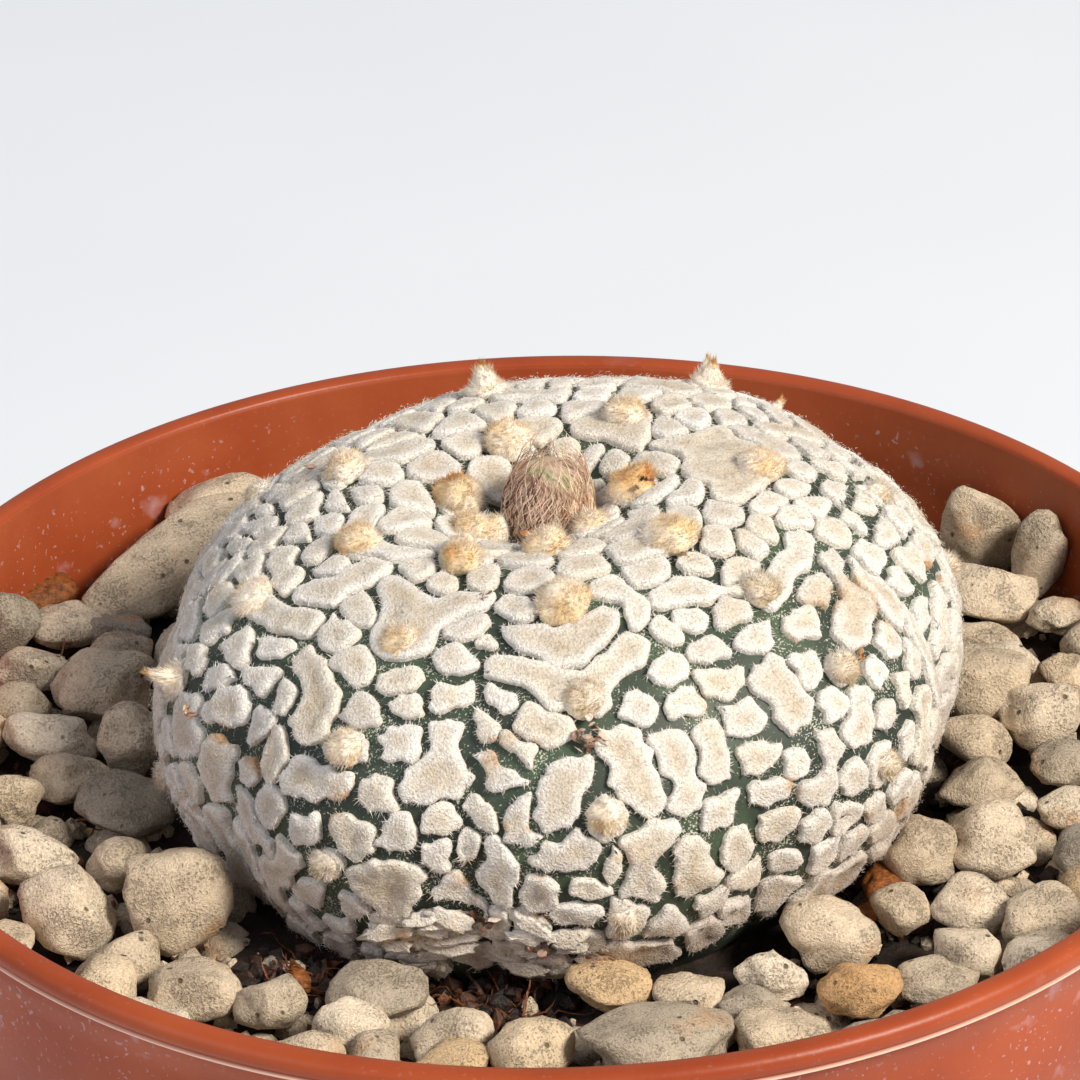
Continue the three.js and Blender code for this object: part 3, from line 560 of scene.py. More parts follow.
def layOutRib(index, cells, draw):
    def spread(size):
        return (draw() * 2 - 1) * size

    def addCell(side, arc, row):
        cell = Cell(onRib(index, side, arc), arc, len(cells), side, row)
        cells.append(cell)
        ribCells.append(cell)
        return cell

    def groupWith(cell, other):
        old = other.group
        for each in ribCells:
            if each.group == old:
                each.group = cell.group

    ribCells = []
    first, pitch = body["ribs"][index][2:]
    arc = first
    while arc < layout["fleckedArc"] - 5:
        areoles.append(addCell(0, arc, -1))
        arc += pitch
    crestCells = list(ribCells)
    for chain in layout["front"] if index == 0 else []:
        links = []
        for side, arc in chain:
            here = Cell(onRib(index, side, arc), arc)
            near = next((cell for cell in crestCells if apart(cell, here) < 1), None)
            links.append(near or addCell(side, arc, -1))
        for link in links:
            groupWith(links[0], link)
    placed = list(ribCells)

    row, rowArc = 0, layout["firstRow"]
    while rowArc < layout["fleckedArc"]:
        left, _, right = ribSpan(index, rowArc)
        width = float((right - left) * meridian(angleAt(rowArc))[0])
        odd = row % 2
        columns = max(1, 2 * math.floor((width / layout["fleckPitch"] - odd) / 2 + 0.5) + odd)
        jitter, twist = layout["jitter"], layout["twist"]
        shifts = [[spread(jitter), spread(jitter), spread(twist), spread(twist)] for _ in range(columns)]
        for column in range(columns):
            twin = min(column, columns - 1 - column)
            sign = -1 if column * 2 < columns - 1 else 1
            sideways = shifts[column][2]
            if column * 2 != columns - 1:
                sideways += -sign * shifts[twin][0]
            side = ((2 * column + 1) / columns - 1) + 2 * sideways / width
            rise = layout["rowRise"] * abs(side) ** 1.5 * min(1, rowArc / 14)
            arc = rowArc - rise + shifts[twin][1] + shifts[column][3]
            trial = Cell(onRib(index, side, arc), arc)
            if all(apart(other, trial) >= layout["fleckPitch"] * 0.72 for other in placed):
                addCell(side, arc, row)
        row += 1
        rowArc += layout["rowPitch"]

    for areole in crestCells:
        if areole.arc > layout["chevronArc"] or index == 0:
            continue
        for sign in [sign for sign in (-1, 1) if draw() < 0.8]:
            tip = areole
            for _ in range(2 if draw() < 0.6 else 1):
                outer = [cell for cell in ribCells if cell.row >= 0
                         and cell.side * sign > tip.side * sign + 0.1 and cell.arc < tip.arc + 0.4
                         and apart(cell, tip) < layout["fleckPitch"] * 1.45]
                if not outer:
                    break
                following = min(outer, key=lambda cell: apart(cell, tip))
                groupWith(areole, following)
                tip = following

    for cell in ribCells:
        chance = draw()
        others = [other for other in ribCells if other is not cell and other.group != cell.group
                  and other.row >= 0 and cell.row >= 0
                  and apart(other, cell) < layout["fleckPitch"] * 1.25]
        beside = [other for other in others if other.row == cell.row and other.side > cell.side]
        below = [other for other in others if other.row > cell.row]
        if chance < layout["joinSideways"] and beside:
            groupWith(cell, beside[0])
        elif chance > 1 - layout["joinDownwards"] and below:
            groupWith(cell, below[0])


def layOutCells():
    draw = seeded(11)
    cells = [Cell(0, 0)]

    def addSkinRing(arc, count):
        for i in range(count):
            azimuth = 2 * math.pi * (i + 0.25 + (draw() * 2 - 1) * 0.12) / count
            cells.append(Cell(azimuth, arc + (draw() * 2 - 1) * 0.2))

    addSkinRing(2, 6)
    for index in range(8):
        layOutRib(index, cells, draw)
    for beyond, count in ((1.6, 26), (5.4, 18), (10.5, 12), (16.5, 7)):
        addSkinRing(layout["fleckedArc"] + beyond, count)
    cells.append(Cell(0, arcTotal))
    return cells


# The outlines of the flecks: each is the edge round the cells of its group, on a sphere on which
# every point is nearest to its own cell's seed
def traceOutlines(cells):
    seeds = []
    for cell in cells:
        angle = math.pi * cell.arc / arcTotal
        seeds.append((math.sin(angle) * math.cos(cell.azimuth), math.sin(angle) * math.sin(cell.azimuth),
                      math.cos(angle)))
    bm = bmesh.new()
    for seed in seeds:
        bm.verts.new(seed)
    bm.verts.index_update()
    bmesh.ops.convex_hull(bm, input=bm.verts)
    triangles, corners = [], []
    for face in bm.faces:
        a, b, c = (v.index for v in face.verts)
        normal = np.cross(np.subtract(seeds[b], seeds[a]), np.subtract(seeds[c], seeds[a]))
        if np.dot(normal, seeds[a]) < 0:
            b, c, normal = c, b, -normal
        normal /= np.linalg.norm(normal)
        triangles.append((a, b, c))
        corners.append((math.atan2(normal[1], normal[0]), math.acos(normal[2]) / math.pi * arcTotal))
    bm.free()

    holding = {(t[i], t[(i + 1) % 3]): number for number, t in enumerate(triangles) for i in range(3)}
    edges = {}
    for number, triangle in enumerate(triangles):
        for i in range(3):
            seed, before = triangle[i], triangle[(i + 2) % 3]
            if cells[seed].group and cells[before].group != cells[seed].group:
                edges.setdefault(cells[seed].group, {})[number] = holding[(seed, before)]
    outlines = {}
    for group, steps in edges.items():
        loops = []
        while steps:
            loop = [next(iter(steps))]
            while loop[-1] in steps:
                loop.append(steps.pop(loop[-1]))
            loops.append(loop[:-1])
        outlines[group] = [corners[number] for number in max(loops, key=len)]
    return outlines


areoles = []
cells = layOutCells()
outlines = traceOutlines(cells)
print("flecks laid out", len(cells), len(outlines), len(areoles))


felt = {
    "pointEvery": 0.25, "halfGapCrown": 0.11, "halfGapSide": 0.21, "gapSpread": 1.5, "grid": 0.46,
    "foot": -0.15, "steps": [(0.03, 0.44), (0.06, 0.1), (0.12, 0.04)],
    "wobble": 0.28, "rimRise": 0.06, "dish": 0.2, "lump": 0.13, "crumple": 0.42,
}


def evenly(points, every):
    closed = np.vstack([points, points[:1]])
    lengths = np.concatenate([[0], np.cumsum(np.linalg.norm(np.diff(closed, axis=0), axis=1))])
    count = max(12, int(lengths[-1] / every))
    at = np.linspace(0, lengths[-1], count, endpoint=False)
    return np.stack([np.interp(at, lengths, closed[:, 0]), np.interp(at, lengths, closed[:, 1])], -1)


def roundOff(points, rounds):
    for _ in range(rounds):
        following = np.roll(points, -1, axis=0)
        points = np.stack([0.75 * points + 0.25 * following, 0.25 * points + 0.75 * following], 1)
        points = points.reshape(-1, 2)
    return points


def relax(points, rounds):
    for _ in range(rounds):
        points = (np.roll(points, 1, axis=0) + 2 * points + np.roll(points, -1, axis=0)) / 4
    return points


def sideways(points):
    along = np.roll(points, -1, axis=0) - np.roll(points, 1, axis=0)
    along /= np.linalg.norm(along, axis=1)[:, None] + 1e-9
    return np.stack([along[:, 1], -along[:, 0]], -1)


def crossesItself(points):
    a, b = points, np.roll(points, -1, axis=0)
    d = b - a

    def turned(p, q):
        return p[..., 0] * q[..., 1] - p[..., 1] * q[..., 0]

    below = turned(d[:, None], d[None])
    below = np.where(np.abs(below) < 1e-12, 1e-12, below)
    offset = a[None] - a[:, None]
    t, u = turned(offset, d[None]) / below, turned(offset, d[:, None]) / below
    hit = (t > 1e-6) & (t < 1 - 1e-6) & (u > 1e-6) & (u < 1 - 1e-6)
    return hit.any()


def enclosed(points):
    following = np.roll(points, -1, axis=0)
    return 0.5 * float(np.sum(points[:, 0] * following[:, 1] - following[:, 0] * points[:, 1]))


# A fleck's outline as a flat pattern round its own middle: x to the east, y up towards the crown
def makePattern(number, group, outline):
    corner = np.array(outline)
    members = [cell for cell in cells if cell.group == group]
    azimuth = members[0].azimuth
    arc = float(np.mean([cell.arc for cell in members]))
    away = np.mod(corner[:, 0] - azimuth + math.pi, 2 * math.pi) - math.pi
    radius = meridian(angleAt(corner[:, 1]))[0]
    flat = np.stack([away * radius, arc - corner[:, 1]], -1)
    smooth = relax(evenly(roundOff(flat, 2), felt["pointEvery"]), 2)
    low = float(smoothStep(arc, 11, 24))
    own = 0.75 + 0.5 * (number * 0.618 % 1)
    arcs = arc - smooth[:, 1]
    onSkin = onBody(azimuth + smooth[:, 0] / np.maximum(meridian(angleAt(arcs))[0], 0.5), arcs)
    pool = np.clip(1 + felt["gapSpread"] * lumps(onSkin, 3.4, 6.6), 0.25, 2.2)
    halfGap = (felt["halfGapCrown"] + (felt["halfGapSide"] - felt["halfGapCrown"]) * low) * own * pool
    wave = np.hstack([smooth, np.full((len(smooth), 1), number * 7.3)])
    wobble = felt["wobble"] * (0.8 + 1.0 * low) * (lumps(wave, 1.1) + 0.95 * lumps(wave, 0.42))
    for share in (1, 0.75, 0.5, 0.25):
        inset = relax(smooth - sideways(smooth) * ((halfGap - wobble) * share)[:, None], 1)
        inset = evenly(inset, felt["pointEvery"])
        if not crossesItself(inset) and enclosed(inset) / enclosed(smooth) > 0.35:
            break
    return {"azimuth": azimuth, "arc": arc, "points": inset, "members": members}


def wrap(patternPoints, number, lift):
    azimuth0, arc0 = patternPlaces[number].T
    arc = arc0 - patternPoints[:, 1]
    radius = np.maximum(meridian(angleAt(arc))[0], 0.5)
    return onBody(azimuth0 + patternPoints[:, 0] / radius, arc, lift)


patterns = [makePattern(number, group, outline) for number, (group, outline) in enumerate(outlines.items())]
patternPlaces = np.array([(each["azimuth"], each["arc"]) for each in patterns])


# All the flecks are cut as flat patterns stacked at the origin, then wrapped to the body
def cutFelt():
    bm = bmesh.new()
    owner = bm.verts.layers.float.new("fleck")
    for number, pattern in enumerate(patterns):
        verts = [bm.verts.new((x, y, felt["foot"])) for x, y in pattern["points"]]
        for vert in verts:
            vert[owner] = number
        bm.faces.new(verts)
    bm.normal_update()
    tops = bm.faces[:]
    for thickness, depth in felt["steps"]:
        bmesh.ops.inset_individual(bm, faces=tops, thickness=thickness, depth=depth, use_even_offset=False)
    step = felt["grid"]
    reach = max(np.abs(pattern["points"]).max() for pattern in patterns)
    inside = set(tops)
    for axis in (Vector((1, 0, 0)), Vector((0, 1, 0))):
        for k in range(-int(reach / step), int(reach / step) + 1):
            faces = [face for face in inside if face.is_valid]
            edges = {edge for face in faces for edge in face.edges}
            verts = {vert for face in faces for vert in face.verts}
            found = bmesh.ops.bisect_plane(bm, geom=faces + list(edges) + list(verts), dist=1e-4,
                                           plane_co=axis * (k + 0.37) * step, plane_no=axis)
            inside = {item for item in found["geom"] if isinstance(item, bmesh.types.BMFace)}
    bmesh.ops.triangulate(bm, faces=[face for face in bm.faces if len(face.verts) > 4])
    owners = np.array([vert[owner] for vert in bm.verts])
    return fromBmesh("feltFlecks", bm), owners


def addFlecks():
    mesh, owners = cutFelt()
    flat = coordinates(mesh)
    number = np.rint(owners).astype(int)
    rim = np.zeros(len(flat))
    for index, pattern in enumerate(patterns):
        mine = np.flatnonzero(number == index)
        gaps = np.linalg.norm(flat[mine, None, :2] - pattern["points"][None], axis=2)
        rim[mine] = gaps.min(axis=1)
    arc = patternPlaces[number, 1] - flat[:, 1]
    old = smoothStep(arc, 21, 33)
    random = np.random.default_rng(21)
    dish = felt["dish"] * random.random(len(patterns))[number]
    raised = flat[:, 2] > felt["foot"] + 0.05
    spot = wrap(flat[:, :2], number, flat[:, 2])
    pillow = felt["rimRise"] * smoothStep(rim, 0.1, 0.35) - dish * smoothStep(rim, 0.4, 1.1)
    rough = lumps(spot, 1.3, 3.1) + 0.5 * lumps(spot, 0.6, 9.7)
    crumple = lumps(spot, 2.0, 5.5) + 0.6 * lumps(spot, 1.0, 1.9)
    crease = -np.abs(lumps(spot, 2.4, 7.7))
    lift = flat[:, 2] + np.where(raised, pillow + felt["lump"] * rough * (0.5 + np.minimum(rim, 1.2)), 0)
    lift += np.where(raised, (0.25 * crease + felt["crumple"] * crumple) * old * np.minimum(rim * 1.4, 1), 0)
    moveTo(mesh, planted(wrap(flat[:, :2], number, lift)) * mm)
    setAttribute(mesh, "tone", random.random(len(patterns))[number])
    setAttribute(mesh, "age", arc / layout["fleckedArc"])
    setAttribute(mesh, "rim", rim)
    return addPiece("feltFlecks", mesh, feltMaterial(), ["cactus_body"])


# Felt of star-shaped plant hairs: chalky ivory, nubbly, with a soft sheen and rusty old edges. Single
# hairs of it are the same without the nubbles, and the torn cork is the same felt at its oldest
def feltMaterial(hair=False):
    material, tree, shader = startMaterial("trichomeHairs" if hair else "trichomeFelt")
    where = addNode(tree, "TexCoord").outputs["Object"]
    tone, age, rim = (addNode(tree, "Attribute", attribute_name=name).outputs["Fac"]
                      for name in ("tone", "age", "rim"))
    cream = addNode(tree, "ValToRGB", {"Fac": tone}, [
        (0.0, "#dfd8cf"), (1.0, "#f2eee8"), (0.45, "#ebe6de"), (0.75, "#e8dfd0")])
    inner = addNode(tree, "MapRange", {"Value": rim, "From Min": 0.25, "From Max": 0.9, "To Max": 1.15})
    soft = addNode(tree, "TexNoise", {"Vector": where, "Scale": perMm(1.1), "Detail": 3})
    tanned = addNode(tree, "Math", {0: inner, 1: soft}, operation="MULTIPLY")
    stain = addNode(tree, "TexNoise", {"Vector": where, "Scale": perMm(4.2), "Detail": 4, "Roughness": 0.6})
    stained = addNode(tree, "MapRange", {"Value": stain, "From Min": 0.57, "From Max": 0.76, "To Max": 0.6})
    edge = addNode(tree, "MapRange", {"Value": rim, "From Min": 0.55, "From Max": 0.1})
    rust = addNode(tree, "MapRange", {"Value": stain, "From Min": 0.6, "From Max": 0.68})
    rustPatch = addNode(tree, "Math", {0: edge, 1: rust}, operation="MULTIPLY")
    lowDown = addNode(tree, "MapRange", {"Value": age, "From Min": 0.45, "From Max": 0.6, "To Max": 0.8})
    rusty = addNode(tree, "Math", {0: rustPatch, 1: lowDown}, operation="MULTIPLY")
    corky = addNode(tree, "MapRange", {"Value": age, "From Min": 0.8, "From Max": 0.98})
    corkyPatch = addNode(tree, "Math", {0: corky, 1: stain}, operation="MULTIPLY")
    # Duller in the middle of a fleck, yellowed in patches, rusty at old edges and corky near the soil
    colour = cream
    for share, tint in ((tanned, "#c0ad90"), (stained, "#d3bf9c"), (rusty, "#b5854c"),
                        (corkyPatch, "#8f6a49")):
        colour = addNode(tree, "Mix", {0: share, 6: colour, 7: tint}, data_type="RGBA")
    fibre = addNode(tree, "TexNoise", {"Vector": where, "Scale": perMm(0.15), "Detail": 2, "Roughness": 0.6})
    plug(tree, shader, {"Base Color": grained(tree, colour, fibre, 0.3, 0.7, 0.74, 1.12),
                        "Roughness": 0.9, "Specular IOR Level": 0.15, "Sheen Weight": 0.25})
    if not hair:
        nub = addNode(tree, "Bump", {"Height": fibre, "Strength": 1.0, "Distance": 0.00013})
        plug(tree, shader, {"Normal": nub})
    return material


# Hairs that stand out all round each fleck, and the nap that lies on top

fringe = {
    "every": 0.09, "length": (0.13, 0.38), "width": 0.029,
    "napCount": 45000, "napLength": (0.12, 0.32), "napWidth": 0.021, "napRise": (0.03, 0.12),
}


def addFringe():
    random = np.random.default_rng(31)
    root, tip, owners = [], [], []
    for number, pattern in enumerate(patterns):
        points = evenly(pattern["points"], fringe["every"])
        count = len(points)
        outwards = sideways(points)
        swing = random.normal(0, 0.45, count)
        turnedOut = np.stack([outwards[:, 0] * np.cos(swing) - outwards[:, 1] * np.sin(swing),
                              outwards[:, 0] * np.sin(swing) + outwards[:, 1] * np.cos(swing)], -1)
        tuft = np.hstack([points, np.full((count, 1), number * 3.7)])
        length = random.uniform(*fringe["length"], count) * np.clip(0.8 + 1.3 * lumps(tuft, 0.4), 0.35, 1.4)
        height = random.uniform(0.02, 0.5, count)
        start = points - outwards * (0.05 + 0.25 * height)[:, None]
        rise = random.normal(0.1, 0.35, count) * length
        root.append(np.column_stack([start, height]))
        tip.append(np.column_stack([start + turnedOut * length[:, None], height + rise]))
        owners.append(np.full(count, number))
    root, tip, owners = np.vstack(root), np.vstack(tip), np.concatenate(owners)
    ends = [planted(wrap(part[:, :2], owners, part[:, 2])) for part in (root, tip)]
    widths = fringe["width"] * random.uniform(0.8, 1.3, len(root))
    mesh, size = growHairs("fleckFringe", np.stack(ends, 1), widths)
    setAttribute(mesh, "tone", np.repeat(np.clip(random.normal(0.5, 0.3, len(root)), 0, 1), size))
    setAttribute(mesh, "age", np.repeat((patternPlaces[owners, 1] - root[:, 1]) / layout["fleckedArc"], size))
    setAttribute(mesh, "rim", np.full(len(root) * size, 0.1))
    addPiece("fleckFringe", mesh, feltMaterial(hair=True), ["cactus_body"], smooth=False)


def addNap(flecks):
    random = np.random.default_rng(33)
    mesh = flecks.data
    centres, normals = (readAll(mesh.polygons, name, 3) for name in ("center", "normal"))
    areas = readAll(mesh.polygons, "area")
    rims, ages = (readAll(mesh.attributes[name].data, "value", kind=np.float32) for name in ("rim", "age"))
    starts = readAll(mesh.polygons, "loop_start", kind=np.int32)
    first = readAll(mesh.loops, "vertex_index", kind=np.int32)[starts]
    onTop = (rims[first] > 0.1) * areas
    chosen = random.choice(len(areas), fringe["napCount"], p=onTop / onTop.sum())
    centre = centres[chosen] / mm + random.normal(0, 0.12, (len(chosen), 3))
    normal = normals[chosen]
    flow = np.stack([lumps(centre, 3.0, seed) for seed in (1.5, 8.2, 4.4)], -1)
    flow += random.normal(0, 0.22, flow.shape) + [0, 0, -0.15]
    flow -= normal * (flow * normal).sum(axis=1)[:, None]
    flow /= np.linalg.norm(flow, axis=1)[:, None] + 1e-6
    centre -= normal * 0.04
    length = random.uniform(*fringe["napLength"], len(chosen))[:, None]
    rise = random.uniform(*fringe["napRise"], (len(chosen), 1))
    tip = centre + flow * length + normal * rise
    widths = fringe["napWidth"] * random.uniform(0.8, 1.3, len(chosen))
    nap, size = growHairs("fleckNap", np.stack([centre, tip], 1), widths)
    setAttribute(nap, "tone", np.repeat(random.random(len(chosen)), size))
    setAttribute(nap, "age", np.repeat(ages[first[chosen]], size))
    setAttribute(nap, "rim", np.repeat(rims[first[chosen]], size))
    addPiece("fleckNap", nap, feltMaterial(hair=True), ["cactus_body"], smooth=False)


skin = {"sides": 130, "rings": 64, "rootRadius": 6, "rootTipRadius": 1.6, "rootDepth": 34,
        "rootOverlap": 3}


def addSkin():
    tubeProfile = [(1, arcTotal * i / skin["rings"]) for i in range(skin["rings"] + 1)]
    mesh = fromBmesh("greenSkin", spinRound(tubeProfile, skin["sides"]))
    tube = coordinates(mesh)
    azimuth, arc = np.arctan2(tube[:, 1], tube[:, 0]), tube[:, 2]
    surface = onBody(azimuth, arc)
    surface += outward(azimuth, arc) * (0.05 * lumps(surface, 2.2, 2.2))[:, None]
    moveTo(mesh, planted(surface) * mm)
    bm = bmesh.new()
    bm.from_mesh(mesh)
    bmesh.ops.remove_doubles(bm, verts=bm.verts, dist=2e-5)
    # The root starts inside the body
    rootTop = body["undersideDepth"] - skin["rootOverlap"]
    depth = skin["rootDepth"] - rootTop
    middle = (rootTop + skin["rootDepth"]) / 2
    tilt = Matrix.Translation(body["centre"]) @ Matrix.Rotation(lean, 4, "Y")
    tilt = tilt @ Matrix.Translation((0, 0, -middle))
    root = bmesh.ops.create_cone(bm, cap_ends=True, segments=24, radius1=skin["rootTipRadius"] * mm,
                                 radius2=skin["rootRadius"] * mm, depth=depth * mm)
    move = Matrix.Scale(mm, 4) @ tilt @ Matrix.Scale(1 / mm, 4)
    bmesh.ops.transform(bm, matrix=move, verts=root["verts"])
    bmesh.ops.recalc_face_normals(bm, faces=bm.faces)
    bm.to_mesh(mesh)
    bm.free()
    addPiece("greenSkin", mesh, skinMaterial(), ["cactus_body"])


# Waxy succulent skin: dark green, satin, dusted with star hairs a tenth of a millimetre across
def skinMaterial():
    material, tree, shader = startMaterial("succulentSkin")
    where = addNode(tree, "TexCoord").outputs["Object"]
    broad = addNode(tree, "TexNoise", {"Vector": where, "Scale": perMm(6), "Detail": 4})
    green = addNode(tree, "ValToRGB", {"Fac": broad}, [(0.3, "#262f28"), (0.75, "#50634a"), (0.5, "#343f33")])
    stars = addNode(tree, "TexNoise", {"Vector": where, "Scale": perMm(0.13), "Detail": 2, "Roughness": 0.6})
    patch = addNode(tree, "TexNoise", {"Vector": where, "Scale": perMm(2.4), "Detail": 3})
    level = addNode(tree, "MapRange", {"Value": patch, "From Min": 0.42, "From Max": 0.68,
                                       "To Min": 0.69, "To Max": 0.52})
    inStar = addNode(tree, "Math", {0: stars, 1: level}, operation="SUBTRACT")
    star = addNode(tree, "MapRange", {"Value": inStar, "From Max": 0.04, "To Max": 0.8})
    colour = addNode(tree, "Mix", {0: star, 6: green, 7: "#cfd0bd"}, data_type="RGBA")
    bump = addNode(tree, "Bump", {"Height": star, "Strength": 0.5, "Distance": 0.00006})
    plug(tree, shader, {"Base Color": colour, "Normal": bump, "Roughness": 0.55, "Specular IOR Level": 0.4})
    return material


wool = {
    "density": 280, "length": (0.14, 0.4), "width": 0.021, "cushionShare": 0.93, "hairRootShare": 0.9,
    # Tufts by areole: half width, height, how golden (for round tufts this also sets how dark the painted
    # shade on their lower side is) and how grey; the others go by their age
    "tufts": {
        0: (1.5, 1.3, 0.5, 0), 1: (1.75, 1.15, 0.5, 0.15), 2: (1.3, 0.5, 0.45, 0.65),
        3: (1.1, 0.95, 0.35, 0.1), 5: (1.2, 1.1, 0.4, 0), 6: (1.7, 1.2, 0.5, 0), 7: (1.3, 0.75, 0.45, 0.75),
        8: (1.1, 1.0, 0.45, 0.7), 10: (1.6, 1.4, 0.85, 0), 11: (1.5, 0.85, 0.5, 0), 14: (1.5, 1.1, 0.55, 0),
        15: (1.3, 0.8, 0.2, 0), 16: (0.9, 0.5, 0.3, 0), 17: (1.5, 1.3, 0.55, 0), 18: (1.4, 0.7, 0.15, 0),
        21: (1.6, 1.4, 0.85, 0.15), 22: (1.4, 1.2, 0.4, 0), 25: (1.3, 1.3, 0.45, 0), 26: (1.45, 1.0, 0.6, 0),
        27: (1.45, 1.1, 0.2, 0.05), 28: (1.2, 0.5, 0.15, 0.1), 30: (1.3, 1.25, 0.65, 0),
        31: (1.2, 0.5, 0.6, 0), 32: (1.2, 1.0, 0.35, 0),
    },
    # Wool dried to a point: areole, offset east and up, half width, height, taper
    "points": [(15, -0.1, 0.1, 1.15, 1.8, 0.6), (15, 0.45, 0, 0.85, 2.05, 0.7), (16, 0, 1.3, 1.15, 3.1, 0.8),
               (18, 0, 0, 1.15, 2.1, 0.45), (28, 0, 0, 1.1, 2.3, 0.85), (25, 0.3, 1.3, 1.0, 1.5, 0),
               (21, 0.9, 0.9, 0.9, 1.2, 0), (30, -0.6, 1.3, 0.9, 1.2, 0), (5, 0.5, 0.9, 0.9, 1.0, 0)],
}


def listTufts():
    tufts = []
    for number, areole in enumerate(areoles):
        young = 1 - float(smoothStep(areole.arc, 8, 20))
        usual = (0.95 + 0.55 * young, 0.7 + 0.45 * young, 0.35 + 0.3 * young, 0.6 * (1 - young))
        tufts.append((number, 0, 0, *wool["tufts"].get(number, usual), 0))
    for number, east, up, wide, tall, taper in wool["points"]:
        tufts.append((number, east, up, wide, tall, 0.12 if taper else 0.3, 0, taper))
    return tufts


def addWool():
    random = np.random.default_rng(47)
    corners, faces = ballShape(4)
    cushions, paths = [], []
    cushionLooks, hairLooks = [], []
    for order, (number, eastBy, upBy, wide, tall, goldAndUnderShade, grey, taper) in enumerate(listTufts()):
        areole = areoles[number]
        axis = outward(areole.azimuth, areole.arc)
        east = np.array([-math.sin(areole.azimuth), math.cos(areole.azimuth), 0])
        up = np.cross(axis, east)
        foot = onBody(areole.azimuth, areole.arc, 0.35) + east * eastBy + up * upBy
        basis = np.stack([east, up, axis])
        seed = order * 3.1 + 0.7

        def shapeTuft(dome, grow):
            high = np.clip(dome[:, 2], 0, 1)
            narrow = 1 - taper * high ** 0.8
            swell = 1 + (0.06 if taper else 0.24) * lumps(dome, 0.75, seed) + 0.05 * lumps(dome, 0.3, seed)
            size = np.stack([wide * narrow, wide * narrow, np.full(len(dome), tall)], -1)
            return dome * size * swell[:, None] * grow

        def toneAndUnderShade(dome):
            high = np.clip(dome[:, 2], 0, 1)
            if taper:
                tone = goldAndUnderShade + 0.3 * lumps(dome, 0.9, seed + 4) + 0.8 * smoothStep(high, 0.74, 0.95)
            else:
                # Round tufts are more golden on top, and more golden and darker on their lower side, which is
                # painted shade of the underside
                tone = goldAndUnderShade * (0.5 + 0.4 * high - 0.5 * dome[:, 1]) + 0.45 * lumps(dome, 0.9, seed + 4)
            return np.clip(tone, 0, 1)

        cushion = shapeTuft(corners, wool["cushionShare"])
        cushion[:, 2] = np.maximum(cushion[:, 2], -0.35)
        cushions.append(planted(cushion @ basis + foot) * mm)
        cushionLooks.append((toneAndUnderShade(corners), np.full(len(corners), grey)))

        count = int(wool["density"] * wide * (wide + tall) * (0.7 if taper else 1))
        height = random.uniform(-0.02, 1, count)
        angle = random.uniform(0, 2 * math.pi, count)
        ring = np.sqrt(1 - np.clip(height, 0, 1) ** 2)
        dome = np.stack([ring * np.cos(angle), ring * np.sin(angle), np.clip(height, 0, 1)], -1)
        start = shapeTuft(dome, wool["hairRootShare"])
        way = dome * [1 / wide, 1 / wide, 1 / tall]
        way /= np.linalg.norm(way, axis=1)[:, None]
        if taper:
            way = 0.3 * way + [0, 0, 0.9]
        clump = np.stack([lumps(dome, 0.35, seed + k) for k in (0.2, 5.2, 9.1)], -1)
        way += 0.8 * clump + random.normal(0, 0.12 if taper else 0.25, (count, 3))
        tip = start + way * random.uniform(*wool["length"], count)[:, None]
        for part in (start, tip):
            part[:, 2] = np.maximum(part[:, 2], 0.03)
        paths.append(planted(np.stack([start, tip], 1) @ basis + foot))
        hairLooks.append((np.clip(toneAndUnderShade(dome) + random.normal(0, 0.08, count), 0, 1), np.full(count, grey)))
    material = woolMaterial()
    mesh = repeatShape("areoleCushions", cushions, faces)
    for name, values in zip(("tone", "grey"), zip(*cushionLooks)):
        setAttribute(mesh, name, np.concatenate(values))
    addPiece("areoleCushions", mesh, material, ["cactus_body"])
    paths = np.concatenate(paths)
    mesh, size = growHairs("areoleWool", paths, wool["width"] * random.uniform(0.8, 1.3, len(paths)))
    for name, values in zip(("tone", "grey"), zip(*hairLooks)):
        setAttribute(mesh, name, np.repeat(np.concatenate(values), size))
    addPiece("areoleWool", mesh, material, ["cactus_body"], smooth=False)


# Plant wool: apricot and cream where it is young, going to grey-brown lower down
def woolMaterial():
    material, tree, shader = startMaterial("areoleWool")
    where = addNode(tree, "TexCoord").outputs["Object"]
    tone, grey = (addNode(tree, "Attribute", attribute_name=name).outputs["Fac"] for name in ("tone", "grey"))
    # The tone attribute is partly painted shade: round tufts are more golden and darker on their lower side
    young = addNode(tree, "ValToRGB", {"Fac": tone}, [
        (0.0, "#f0e6d8"), (1.0, "#c78f50"), (0.4, "#ead7ba"), (0.7, "#e0c394"), (0.88, "#d6ab72")])
    old = addNode(tree, "ValToRGB", {"Fac": tone}, [(0.0, "#e2d9ca"), (1.0, "#8d7a60"), (0.5, "#bfae94")])
    colour = addNode(tree, "Mix", {0: grey, 6: young, 7: old}, data_type="RGBA")
    fibre = addNode(tree, "TexNoise", {"Vector": where, "Scale": perMm(0.2), "Detail": 2})
    plug(tree, shader, {"Base Color": grained(tree, colour, fibre, 0.3, 0.7, 0.78, 1.08),
                        "Roughness": 0.85, "Specular IOR Level": 0.2, "Sheen Weight": 0.3})
    return material


# Dried scales, and the torn cork round the foot

